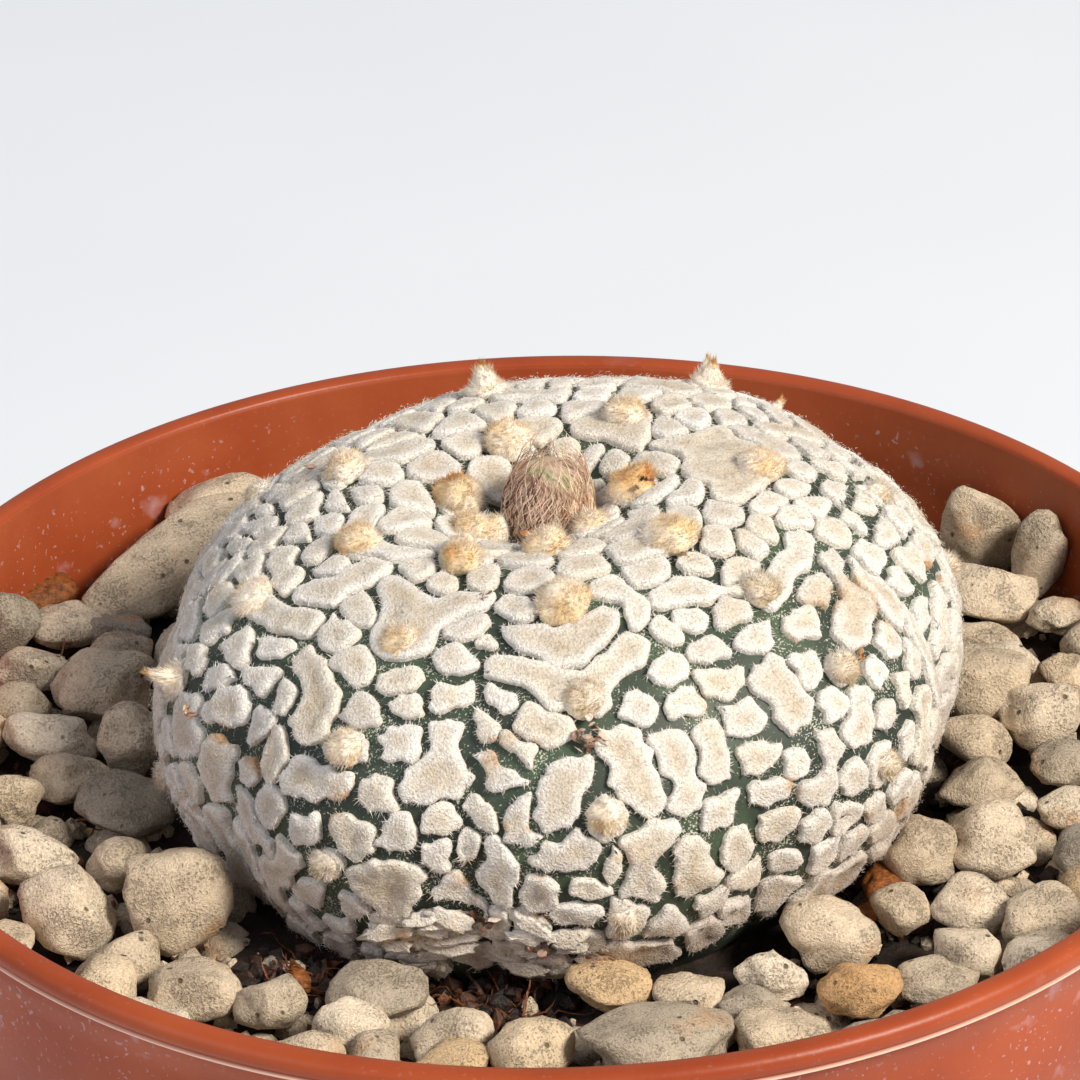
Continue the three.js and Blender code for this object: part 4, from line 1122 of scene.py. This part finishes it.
scales = {
    # Rib, place across it, arc, lift, how many, spread, size, tone
    "clusters": [(0, -0.03, 23.0, 0.35, 26, 0.85, 0.36, 0.5), (1, 0.16, 24.6, 0.5, 7, 0.35, 0.3, 0.95),
                 (2, -0.42, 7.5, 1.0, 7, 0.5, 0.3, 0.05), (0, -0.55, 4.4, 0.9, 4, 0.35, 0.5, 0.95),
                 (1, -0.25, 13.6, 0.5, 4, 0.3, 0.22, 0.9), (3, 0.2, 21.0, 0.4, 6, 0.5, 0.3, 0.4),
                 (5, -0.1, 16.0, 0.4, 6, 0.5, 0.3, 0.5), (6, 0.4, 26.0, 0.4, 6, 0.6, 0.35, 0.9),
                 (7, 0.85, 12.8, 0.4, 5, 0.4, 0.25, 0.4), (0, -0.9, 33.6, 0.5, 10, 0.6, 0.34, 0.25),
                 (0, -0.55, 35.4, 0.6, 14, 0.8, 0.36, 0.3), (0, -0.2, 36.5, 0.6, 10, 0.8, 0.3, 0.35)],
    "corkPlates": 36, "corkAzimuths": (-117, -86), "corkArcs": (33, 38), "corkLengths": (0.7, 1.6),
    "corkWidths": (0.28, 0.52), "corkLifts": (0.25, 0.8), "corkCurls": (0.05, 0.3),
}


def addScales():
    random = np.random.default_rng(67)
    corners, faces = ballShape(2)
    flakes, tones = [], []
    for rib, side, arc, lift, count, spread, size, tone in scales["clusters"]:
        middle = onBody(onRib(rib, side, arc), arc, lift)
        for _ in range(count):
            flake = corners * random.uniform(0.5, 1.2, 3) * [1, 0.8, 0.16] * size
            flake *= 1 + 0.5 * lumps(corners, 0.7, random.uniform(0, 50))[:, None]
            turn = Matrix.Rotation(random.uniform(0, 6.28), 3, Vector(random.normal(0, 1, 3)))
            spot = middle + random.normal(0, 0.5, 3) * spread
            flakes.append(planted(flake @ np.array(turn).T + spot) * mm)
            tones.append(np.full(len(corners), np.clip(tone + random.normal(0, 0.16), 0, 1)))
    mesh = repeatShape("driedScales", flakes, faces)
    setAttribute(mesh, "tone", np.concatenate(tones))
    addPiece("driedScales", mesh, scaleMaterial(), ["cactus_body"], smooth=False)


# Old layers of felt and cork that have torn and lie over each other where the ribs meet the soil
def addCork():
    random = np.random.default_rng(71)
    bm = bmesh.new()
    bmesh.ops.create_circle(bm, cap_ends=True, segments=26, radius=1)
    for _ in range(3):
        bmesh.ops.inset_individual(bm, faces=[max(bm.faces, key=lambda face: face.calc_area())],
                                   thickness=0.26, depth=0)
    bmesh.ops.solidify(bm, geom=bm.faces[:], thickness=0.2)
    bmesh.ops.triangulate(bm, faces=bm.faces[:])
    bmesh.ops.recalc_face_normals(bm, faces=bm.faces[:])
    corners, faces = readShape(bm)
    rim = 0.7 * (1 - np.hypot(corners[:, 0], corners[:, 1]))
    plates, tones, ages = [], [], []
    for _ in range(scales["corkPlates"]):
        azimuth = math.radians(random.uniform(*scales["corkAzimuths"]))
        arc = random.uniform(*scales["corkArcs"])
        long, wide = random.uniform(*scales["corkLengths"]), random.uniform(*scales["corkWidths"])
        seed = random.uniform(0, 90)
        torn = 1 + 0.45 * lumps(corners, 0.5, seed) + 0.25 * lumps(corners, 0.22, seed)
        flat = corners * torn[:, None] * [long, wide, 1]
        along = random.normal(0, 0.2)
        east = flat[:, 0] * math.cos(along) - flat[:, 1] * math.sin(along)
        up = flat[:, 0] * math.sin(along) + flat[:, 1] * math.cos(along)
        curl = 0.16 * lumps(flat, 0.8, seed) - random.uniform(*scales["corkCurls"]) * up / wide
        lift = random.uniform(*scales["corkLifts"]) + flat[:, 2] * 1.4 + curl
        reach = np.maximum(meridian(angleAt(arc - up))[0], 0.5)
        plates.append(planted(onBody(azimuth + east / reach, arc - up, lift)) * mm)
        tones.append(np.full(len(corners), random.uniform(0.5, 1)))
        ages.append(np.full(len(corners), 0.8 + 0.03 * (arc - scales["corkArcs"][0])))
    mesh = repeatShape("tornCork", plates, faces)
    setAttribute(mesh, "tone", np.concatenate(tones))
    setAttribute(mesh, "rim", np.tile(rim, len(plates)))
    setAttribute(mesh, "age", np.concatenate(ages))
    addPiece("tornCork", mesh, feltMaterial(), ["cactus_body"])


# Papery dried scales and scabs: dark brown to rusty orange, brittle and dull
def scaleMaterial():
    material, tree, shader = startMaterial("driedScale")
    where = addNode(tree, "TexCoord").outputs["Object"]
    tone = addNode(tree, "Attribute", attribute_name="tone").outputs["Fac"]
    own = addNode(tree, "ValToRGB", {"Fac": tone}, [
        (0.0, "#2c1d17"), (1.0, "#b8702f"), (0.3, "#7a4f3a"), (0.5, "#b99a84"), (0.65, "#dccdbd"),
        (0.85, "#c08a50")])
    mottle = addNode(tree, "TexNoise", {"Vector": where, "Scale": perMm(0.25), "Detail": 3})
    plug(tree, shader, {"Base Color": grained(tree, own, mottle, 0.3, 0.7, 0.6, 1.15), "Roughness": 0.7})
    return material


bud = {
    "radius": 3.02, "height": 4.95, "wrapHairs": 760, "wisps": 150, "levels": 6, "gap": 0.3,
    "shift": (0.58, 0.1), "tiltDegrees": 8,
}
apexHeight = body["crownHeight"] - body["dimpleDepth"]


# The bud leans in the hollow of the crown
def standBud(points):
    turn = leaning(math.radians(bud["tiltDegrees"]))
    return (points - [0, 0, apexHeight]) @ turn.T + [*bud["shift"], apexHeight]


def budRoundness(part):
    return np.sin(math.pi * (0.2 + 0.8 * np.clip(part, 0, 0.995))) ** 0.27


def addBud():
    random = np.random.default_rng(53)
    steps = 26
    profile = [(0, apexHeight + bud["gap"])]
    for i in range(steps + 1):
        part = i / steps
        radius = 0 if i == steps else (bud["radius"] - 0.42) * float(budRoundness(part))
        profile.append((radius, apexHeight + bud["gap"] + (bud["height"] - 0.4) * part))
    mesh = fromBmesh("budCore", turnProfile(profile, 48))
    points = coordinates(mesh) / mm
    points += (points - [0, 0, apexHeight + 2.4]) * (0.03 * lumps(points, 1.6, 4.4))[:, None]
    moveTo(mesh, planted(standBud(points)) * mm)
    addPiece("budCore", mesh, budMaterial(), ["flower_bud"])

    count, levels = bud["wrapHairs"] + bud["wisps"], bud["levels"]
    loose = np.arange(count) >= bud["wrapHairs"]
    begin = random.uniform(0, 2 * math.pi, count)
    sweep = np.where(random.random(count) < 0.75, 1, -0.7) * random.uniform(0.1, 0.95, count)
    low = np.where(loose, random.uniform(0.35, 0.7, count), random.uniform(0.02, 0.45, count))
    high = np.where(loose, 1.0, np.minimum(low + random.uniform(0.35, 0.75, count), 0.97))
    lift = random.uniform(-0.14, 0.16, count)
    t = np.linspace(0, 1, levels + 1)[None]
    part = low[:, None] + (high - low)[:, None] * t
    radius = (bud["radius"] - 0.28 + lift[:, None]) * budRoundness(part)
    angle = begin[:, None] + sweep[:, None] * part + 0.08 * np.sin(9 * t + begin[:, None] * 5)
    height = apexHeight + bud["gap"] + 0.05 + (bud["height"] - 0.45) * part
    paths = np.stack([radius * np.cos(angle), radius * np.sin(angle), height], -1)
    stray = random.normal(0, 1, (count, 1, 3)) * [0.6, 0.6, 0.2] + [0, 0, 1.0]
    paths += loose[:, None, None] * stray * (t ** 3)[..., None] * random.uniform(0.5, 1.3, (count, 1, 1))
    widths = random.uniform(0.03, 0.055, count)
    mesh, size = growHairs("budHairs", planted(standBud(paths)), widths, blunt=0.5)
    # Random tone, with painted light: strands on the right, the side towards the key light, are lighter and
    # those on the left darker
    shade = np.clip(random.random(count) + 0.22 * np.cos(begin + sweep * 0.5), 0, 1)
    setAttribute(mesh, "tone", np.repeat(shade, size))
    addPiece("budHairs", mesh, budHairMaterial(), ["flower_bud"], smooth=False)


# Tight flower bud: pale green sepals under the hair, matt
def budMaterial():
    material, tree, shader = startMaterial("budSepals")
    where = addNode(tree, "TexCoord").outputs["Object"]
    patch = addNode(tree, "TexNoise", {"Vector": where, "Scale": perMm(1.8), "Detail": 3})
    colour = addNode(tree, "ValToRGB", {"Fac": patch}, [
        (0.38, "#b0917a"), (0.64, "#a9ad80"), (0.5, "#cbb298")])
    plug(tree, shader, {"Base Color": colour, "Roughness": 0.8})
    return material


# Dry bristly hair round the bud: pinkish brown, some strands straw, some nearly black
def budHairMaterial():
    material, tree, shader = startMaterial("budBristles")
    # The tone attribute carries painted light as well: lighter strands on the right, darker on the left
    tone = addNode(tree, "Attribute", attribute_name="tone").outputs["Fac"]
    colour = addNode(tree, "ValToRGB", {"Fac": tone}, [
        (0.0, "#6f4a3a"), (1.0, "#f3e4d0"), (0.14, "#b98f76"), (0.45, "#dcbda5"), (0.8, "#e9d3b9")])
    plug(tree, shader, {"Base Color": colour, "Roughness": 0.6})
    return material


filling = {
    "soilTop": 57.3, "bedTop": 58.6, "stoneSink": 0.31, "clear": 0.45, "innerRadius": 15.0,
    "crumbs": 680, "heapedCrumbs": 260, "heapSpread": 1.5, "crumbReach": (14.5, 38.4),
    "crumbSizes": (0.25, 0.75),
    "fibres": 150, "thickShare": 0.6, "fibreReach": (23, 38), "fibreLengths": (1.4, 4.2),
    # Bark chips: place, size and turn
    "bark": [((19.6, -13.2, 59.3), (2.0, 1.3, 0.8), 70), ((18.6, -15.4, 59.0), (1.3, 0.7, 0.5), 20),
             ((-32.3, 23.6, 59.3), (2.4, 1.3, 0.7), 35), ((-15.2, -19.8, 58.2), (1.6, 0.6, 0.4), 110)],
    # Where roots and coir lie thickest
    "fibreSpots": [(-15.6, -20.4), (-14.8, -19.2), (-2.2, -23.5), (-4.4, -21.5), (-30, 2), (19, -14)],
}


def addSoil():
    floorTop = pot["floorLift"] + pot["floorThickness"] + 0.3
    clear, inner = filling["clear"], filling["innerRadius"]
    profile = [(0, floorTop), (innerRadius(floorTop) - 1.6, floorTop), (innerRadius(5) - clear, 5)]
    profile += [(innerRadius(h) - clear, h) for h in (20, 35, 50)]
    profile += [(innerRadius(collarFoot - 0.2) - clear - 0.1, collarFoot + 0.2)]
    edge = innerRadius(filling["soilTop"]) - clear
    profile += [(edge, filling["soilTop"] - 0.3)]
    profile += [(edge - (edge - inner) * i / 40, filling["soilTop"]) for i in range(1, 41)]
    profile += [(0, filling["soilTop"] - 6)]
    mesh = fromBmesh("pottingSoil", turnProfile(profile, 150))
    points = coordinates(mesh) / mm
    top = points[:, 2] > filling["soilTop"] - 0.1
    points[top, 2] += 0.8 * lumps(points[top], 3.2) + 0.6 * lumps(points[top], 1.1, 4)
    moveTo(mesh, points * mm)
    addPiece("pottingSoil", mesh, soilMaterial(), ["soil"])


# Places spread evenly over a ring
def scatter(random, reach, count):
    near, far = reach
    distance = np.sqrt(random.uniform(near ** 2, far ** 2, count))
    angle = random.uniform(0, 2 * math.pi, count)
    return np.stack([distance * np.cos(angle), distance * np.sin(angle)], -1)


def shapeCrumb(random, ball, low, high, rough):
    return ball * random.uniform(low, high, 3) * (1 + rough * random.normal(0, 1, (len(ball), 1)))


# Crumbs of peat, coir fibres and chips of bark that show between the stones
def addSoilBits():
    random = np.random.default_rng(59)
    ball, faces = ballShape(1)
    count = filling["crumbs"]
    places = scatter(random, filling["crumbReach"], count)
    spots = filling["fibreSpots"]
    crumbs = []
    for i in range(count):
        shape = shapeCrumb(random, ball, 0.5, 1.3, 0.25)
        if i < filling["heapedCrumbs"]:
            places[i] = spots[i % len(spots)] + random.normal(0, filling["heapSpread"], 2)
        spot = [*places[i], filling["soilTop"] + random.uniform(-0.1, 0.6)]
        crumbs.append((shape * random.uniform(*filling["crumbSizes"]) + spot) * mm)
    mesh = repeatShape("soilCrumbs", crumbs, faces)
    setAttribute(mesh, "tone", np.repeat(random.random(count) * 0.72, len(ball)))
    material = barkMaterial()
    addPiece("soilCrumbs", mesh, material, ["soil"], smooth=False)

    ball, faces = ballShape(3)
    chips = []
    for place, size, turn in filling["bark"]:
        seed = random.uniform(0, 90)
        rough = 1 + 0.3 * lumps(ball, 0.7, seed) + 0.2 * lumps(ball, 0.3, seed)
        turned = np.array(Matrix.Rotation(math.radians(turn), 3, "Z") @ Matrix.Rotation(0.3, 3, "X"))
        chips.append(((ball * rough[:, None] * size) @ turned.T + place) * mm)
    mesh = repeatShape("barkChips", chips, faces)
    setAttribute(mesh, "tone", np.full(len(ball) * len(chips), 0.95))
    addPiece("barkChips", mesh, material, ["soil"])

    count, levels = filling["fibres"], 5
    thick = np.arange(count) < count * filling["thickShare"]
    home = np.array([spots[i % len(spots)] for i in range(count)]) + random.normal(0, 1.1, (count, 2))
    home = np.where(thick[:, None], home, scatter(random, filling["fibreReach"], count))
    way, bend = random.uniform(0, 2 * math.pi, count), random.normal(0, 0.35, count)
    length = random.uniform(*filling["fibreLengths"], count)
    path = np.empty((count, levels + 1, 3))
    path[:, 0] = np.column_stack([home, filling["soilTop"] + random.uniform(-0.1, 0.9, count)])
    for k in range(levels):
        turned = way + bend * k
        rise = random.normal(0.03, 0.12, count) * length
        step = np.column_stack([np.cos(turned) * length / levels, np.sin(turned) * length / levels, rise])
        path[:, k + 1] = path[:, k] + step
    mesh, size = growHairs("soilFibres", path, random.uniform(0.05, 0.13, count), blunt=0.4)
    setAttribute(mesh, "tone", np.repeat(random.uniform(0.55, 1, count), size))
    addPiece("soilFibres", mesh, material, ["soil"], smooth=False)


# Peat-based potting soil: near-black crumbs with brown fibres, damp and dull
def soilMaterial():
    material, tree, shader = startMaterial("peatSoil")
    where = addNode(tree, "TexCoord").outputs["Object"]
    crumb = addNode(tree, "TexNoise", {"Vector": where, "Scale": perMm(1.2), "Detail": 5, "Roughness": 0.7})
    colour = addNode(tree, "ValToRGB", {"Fac": crumb}, [
        (0.35, "#150e0a"), (0.8, "#5a3a22"), (0.6, "#2d1d13")])
    bump = addNode(tree, "Bump", {"Height": crumb, "Strength": 1.0, "Distance": 0.0006})
    plug(tree, shader, {"Base Color": colour, "Normal": bump, "Roughness": 0.9})
    return material


# Bark, coir and peat crumbs: near-black to amber brown, a little glossy where the bark is resinous
def barkMaterial():
    material, tree, shader = startMaterial("barkAndCoir")
    where = addNode(tree, "TexCoord").outputs["Object"]
    tone = addNode(tree, "Attribute", attribute_name="tone").outputs["Fac"]
    own = addNode(tree, "ValToRGB", {"Fac": tone}, [
        (0.0, "#1a110c"), (1.0, "#96561f"), (0.4, "#33211a"), (0.7, "#6b4026")])
    grain = addNode(tree, "TexNoise", {"Vector": where, "Scale": perMm(0.5), "Detail": 4, "Roughness": 0.7})
    bump = addNode(tree, "Bump", {"Height": grain, "Strength": 0.8, "Distance": 0.0003})
    plug(tree, shader, {"Base Color": grained(tree, own, grain, 0.35, 0.65, 0.35, 1.3), "Normal": bump,
                        "Roughness": 0.55})
    return material


gravel = {
    "main": [
        (-24.5, 25.5, 12.5, 6, 40), (-18.5, 31.5, 7, 6.2), (-33.5, 18.5, 4.5, 4), (-31, 18.5, 4.9, 2.4),
        (-25.2, 19.5, 4, 2.6), (-33, 15, 4.5, 2.8), (-28, 11.5, 6.6, 4), (-33.5, 9.5, 4.3, 2.4),
        (-31, 5.8, 5.9, 2.8), (-25.8, 4, 4.6, 4.6), (-29, 0.7, 5, 2.8), (-26.2, -2, 6.1, 2.9),
        (-33, -1.7, 3.8, 3.4), (-31.8, -9, 6.2, 4), (-29, -15.5, 6, 5.6), (-26.3, -9.8, 3.7, 3.6),
        (-22.3, -14.8, 6.4, 6), (-21.5, -22.6, 5.6, 3.2), (-16.5, -24.8, 4.3, 3.1), (-10, -23.8, 6, 2.9),
        (-12.5, -26.6, 4.4, 2.8), (-6.5, -27.3, 4.9, 2.6), (-6.4, -31, 5.2, 2.2), (2.8, -23.8, 5.1, 2.6),
        (5.5, -29.4, 9.2, 4.2), (7, -24.4, 4.2, 2.2), (11.3, -25.4, 3.9, 2), (12.8, -29, 5.8, 2.8),
        (13.6, -22, 4.5, 2.8), (16.7, -18.9, 5.9, 3.4), (17.8, -23.6, 5, 3), (24.6, -16.7, 4.8, 3.6),
        (28, -18, 5.2, 3.8), (26.3, -10.3, 5.5, 4.4), (22.4, -10, 4.8, 3.6), (21.8, -25.5, 5, 2.2),
        (31, -10.5, 4.6, 3.6), (27.2, 27.2, 5.2, 6.6), (30.6, 23.6, 3.8, 6.2), (27.6, 21, 6.9, 3),
        (32.2, 17.8, 3.9, 2.2), (27.4, 15.8, 4.4, 2.2), (27.4, 7.8, 5.4, 5.2), (31, 4.6, 5.1, 3.8),
        (32.4, 9.8, 4, 3), (31.6, 0, 4.5, 2.3), (26, -2.2, 5.3, 2.8), (31.2, -5, 4, 2),
    ],
    "fillerTries": 2000, "largestFiller": 6.5, "smallestFiller": 4, "settleRounds": 40,
    # Stones that show between and under the others, turned round by the golden angle, and grit
    "under": 140, "underReach": (22.5, 37.3), "underSizes": (2.4, 4.6), "goldenAngle": 2.399963,
    "grit": 700, "gritReach": (23.5, 38.6), "gritSizes": (0.25, 0.8),
    "flats": 8, "flatDepth": 0.8, "plump": (1.02, 1.02, 1.06), "tilt": 0.16, "underTilt": 0.3,
    # Hollows where the soil shows: place and radius
    "hollows": [(-3.2, -23.8, 2.9), (-29.5, 1.4, 2.2), (-15.8, -18, 2.6), (-21.6, -5.8, 2.0)],
    # Where a stone lies off the plan once all have settled: its number, step in x and y, added height
    "nudges": {
        0: (-1.2, 0.6, -0.6), 1: (-3.0, -0.6, -0.4), 2: (-1.2, 0.9, 0.4), 3: (-1.4, 0, 0),
        4: (-2.2, 0.2, -0.6), 17: (0.4, -0.3, 0), 20: (1.8, 0, 0.2), 21: (0, -1.8, 0), 23: (0.3, 2.2, 0.4),
        24: (-1.6, 0, 0), 27: (-1.2, 0, 0), 28: (-0.9, -0.6, 0.2), 29: (-1.4, 0.6, 1.2), 33: (-1.3, 0, 0.4),
        34: (-1.3, 0.3, 1.0), 35: (0, 2.2, 0), 37: (1.2, 0.2, 0), 38: (1.3, -0.4, 0.2), 39: (1.5, 0, 0.5),
        43: (-0.9, 0, 0),
    },
    "longStretch": 1.2,
    # Swellings and pits of a stone: how strong, and how wide as a share of its radius
    "swells": [(0.24, 1.0), (0.09, 0.45), (0.045, 0.2)],
    # Main stones of a colour of their own, by number: 0 is grey, 1 ochre
    "tones": {14: 0.6, 16: 0.5, 17: 0.4, 18: 0.3, 22: 0.92, 23: 0.93, 24: 0.15, 27: 0.5, 30: 1.0},
}


def layOutStones():
    draw = seeded(41)
    stones = []
    for x, y, wide, tall, *way in gravel["main"]:
        stones.append({"x": x, "y": y, "across": wide, "tall": tall, "main": True,
                       "wide": wide * (0.5 if way else 0.85), "turn": math.radians(way[0]) if way else 0.0})

    def apartBy(a, b):
        span = (a["across"] + a["wide"] + b["across"] + b["wide"]) / 4
        return math.hypot(a["x"] - b["x"], a["y"] - b["y"]) - span

    def nearest(size):
        return body["radius"] - 0.8 + 0.45 * size

    def farthest(size):
        return innerRadius(filling["bedTop"]) - 0.3 - 0.52 * size

    tries = gravel["fillerTries"]
    large, small = gravel["largestFiller"], gravel["smallestFiller"]
    for attempt in range(tries):
        size = large + (small - large) * math.sqrt(attempt / tries)
        inner = nearest(size)
        distance = math.sqrt(inner ** 2 + (farthest(size) ** 2 - inner ** 2) * draw())
        angle = 2 * math.pi * draw()
        turn = math.pi * draw()
        trial = {"x": distance * math.cos(angle), "y": distance * math.sin(angle), "turn": turn,
                 "across": size, "wide": size * (0.7 + 0.2 * draw()), "tall": size * (0.55 + 0.15 * draw()),
                 "main": False}
        if all(apartBy(other, trial) > -0.4 for other in stones):
            stones.append(trial)

    for _ in range(gravel["settleRounds"]):
        for index, a in enumerate(stones):
            for b in stones[index + 1:]:
                overlap = -apartBy(a, b)
                if overlap <= 0:
                    continue
                distance = math.hypot(a["x"] - b["x"], a["y"] - b["y"])
                push = overlap * 0.25 / distance
                stepX, stepY = (a["x"] - b["x"]) * push, (a["y"] - b["y"]) * push
                a["x"] += stepX
                a["y"] += stepY
                b["x"] -= stepX
                b["y"] -= stepY
            distance = math.hypot(a["x"], a["y"])
            kept = min(max(distance, nearest(a["across"])), farthest(a["across"])) / distance
            a["x"] *= kept
            a["y"] *= kept
    return stones


# A tumbled pumice stone: a ball with flats knocked off it, rounded again, and pitted
def shapeStone(ball, random, size):
    points = ball.copy()
    for _ in range(gravel["flats"]):
        way = random.normal(0, 1, 3)
        way /= np.linalg.norm(way)
        over = np.maximum(points @ way - random.uniform(0.6, 0.9), 0)
        points -= way * (over * gravel["flatDepth"])[:, None]
    seed = random.uniform(0, 90)
    points *= (1 + sum(share * lumps(ball, wide, seed) for share, wide in gravel["swells"]))[:, None]
    return (points - (points.max(0) + points.min(0)) / 2) / np.ptp(points, axis=0) * size


def addStones():
    random = np.random.default_rng(61)
    balls, groups, tones = {level: ballShape(level) for level in (3, 4)}, {3: [], 4: []}, {3: [], 4: []}

    def put(level, stone, height, tilt, tone):
        size = [stone[way] * grow for way, grow in zip(("across", "wide", "tall"), gravel["plump"])]
        points = shapeStone(balls[level][0], random, size)
        turn = Matrix.Rotation(stone["turn"], 3, "Z")
        turn = turn @ Matrix.Rotation(tilt[0], 3, "X") @ Matrix.Rotation(tilt[1], 3, "Y")
        points = points @ np.array(turn).T + [stone["x"], stone["y"], height]
        outer = np.hypot(points[:, 0], points[:, 1])
        limit = np.array([innerRadius(h) - 0.25 for h in np.clip(points[:, 2], 40, 66)])
        points[:, :2] *= np.minimum(1, limit / outer)[:, None]
        groups[level].append(points * mm)
        tones[level].append(np.full(len(points), tone))

    def inHollow(stone):
        return any(math.hypot(stone["x"] - x, stone["y"] - y) < reach for x, y, reach in gravel["hollows"])

    for number, stone in enumerate(layOutStones()):
        if not stone["main"] and inHollow(stone):
            continue
        eastBy, northBy, taller = gravel["nudges"].get(number, (0, 0, 0))
        stone["x"] += eastBy
        stone["y"] += northBy
        stone["tall"] += taller
        if stone["main"] and stone["turn"]:
            stone["across"] *= gravel["longStretch"]
        tilt = random.normal(0, gravel["tilt"], 2)
        height = filling["bedTop"] + filling["stoneSink"] * stone["tall"]
        tone = random.random()
        put(4 if stone["main"] else 3, stone, height, tilt, gravel["tones"].get(number, tone))
    near, far = gravel["underReach"]
    for i in range(gravel["under"]):
        size = random.uniform(*gravel["underSizes"])
        distance = math.sqrt(random.uniform(near ** 2, far ** 2))
        angle = i * gravel["goldenAngle"]
        under = {"x": distance * math.cos(angle), "y": distance * math.sin(angle), "across": size,
                 "wide": size * random.uniform(0.7, 0.95), "tall": size * random.uniform(0.6, 0.8),
                 "turn": random.uniform(0, math.pi)}
        if inHollow(under):
            continue
        height = filling["soilTop"] + random.uniform(-0.8, 0.3)
        put(3, under, height, random.normal(0, gravel["underTilt"], 2), random.random())
    material = pumiceMaterial()
    for level, name in ((4, "pumiceStones"), (3, "pumiceFiller")):
        mesh = repeatShape(name, groups[level], balls[level][1])
        setAttribute(mesh, "tone", np.concatenate(tones[level]))
        addPiece(name, mesh, material, ["gravel"])

    count = gravel["grit"]
    places = scatter(random, gravel["gritReach"], count)
    sizes = random.uniform(*gravel["gritSizes"], count)
    ball, faces = ballShape(1)
    crumbs = []
    for place, size in zip(places, sizes):
        shape = shapeCrumb(random, ball, 0.6, 1.2, 0.2)
        crumbs.append((shape * size + [*place, filling["soilTop"] + random.uniform(0, 0.9)]) * mm)
    mesh = repeatShape("pumiceGrit", crumbs, faces)
    setAttribute(mesh, "tone", np.repeat(random.random(count), len(ball)))
    addPiece("pumiceGrit", mesh, material, ["gravel"], smooth=False)


# Pumice: dull beige volcanic foam, dusty, finely pitted, some stones ochre or grey
def pumiceMaterial():
    material, tree, shader = startMaterial("tumbledPumice")
    where = addNode(tree, "TexCoord").outputs["Object"]
    tone = addNode(tree, "Attribute", attribute_name="tone").outputs["Fac"]
    own = addNode(tree, "ValToRGB", {"Fac": tone}, [
        (0.0, "#a59a8b"), (1.0, "#cfa576"), (0.2, "#c2b29c"), (0.5, "#d8c4a9"), (0.75, "#e8d9c3"),
        (0.9, "#dcc19a")])
    cloud = addNode(tree, "TexNoise", {"Vector": where, "Scale": perMm(2.6), "Detail": 4, "Roughness": 0.6})
    clouded = grained(tree, own, cloud, 0.3, 0.7, 1.16, 0.84)
    rust = addNode(tree, "TexNoise", {"Vector": where, "Scale": perMm(4.5), "Detail": 3})
    stain = addNode(tree, "MapRange", {"Value": rust, "From Min": 0.62, "From Max": 0.72, "To Max": 0.5})
    stained = addNode(tree, "Mix", {0: stain, 6: clouded, 7: "#c08a52"}, data_type="RGBA")
    # Salt and pepper: grains a sixth of a millimetre across, thick in some places, thin in others
    grain = addNode(tree, "TexNoise", {"Vector": where, "Scale": perMm(0.17), "Detail": 3, "Roughness": 0.7})
    gritty = grained(tree, stained, grain, 0.35, 0.65, 0.76, 1.18)
    pepper = addNode(tree, "TexNoise", {"Vector": where, "Scale": perMm(0.15), "Detail": 2, "W": 5.0},
                     noise_dimensions="4D")
    thick = addNode(tree, "MapRange", {"Value": cloud, "From Min": 0.4, "From Max": 0.62,
                                       "To Min": 0.32, "To Max": 0.51})
    below = addNode(tree, "Math", {0: thick, 1: pepper}, operation="SUBTRACT")
    speck = addNode(tree, "MapRange", {"Value": below, "From Max": 0.08, "To Max": 0.4})
    # A few open pores, up to half a millimetre
    pores = addNode(tree, "TexVoronoi", {"Vector": where, "Scale": perMm(1.5)})
    pore = addNode(tree, "MapRange", {"Value": pores, "From Min": 0.13, "From Max": 0.07})
    dark = addNode(tree, "Math", {0: speck, 1: pore}, operation="MAXIMUM")
    colour = addNode(tree, "Mix", {0: dark, 6: gritty, 7: "#7a6a56"}, data_type="RGBA")
    depth = addNode(tree, "Math", {0: grain, 1: dark}, operation="SUBTRACT")
    bump = addNode(tree, "Bump", {"Height": depth, "Strength": 1.0, "Distance": 0.00022})
    plug(tree, shader, {"Base Color": colour, "Normal": bump, "Roughness": 0.95, "Specular IOR Level": 0.2})
    return material


addCamera()
addStudio()
addFloor()
print("studio ready")
addPot()
addSkin()
flecks = addFlecks()
addFringe()
addNap(flecks)
for addOther in (addWool, addScales, addCork, addBud, addSoil, addSoilBits, addStones):
    addOther()
print("cactus potted")
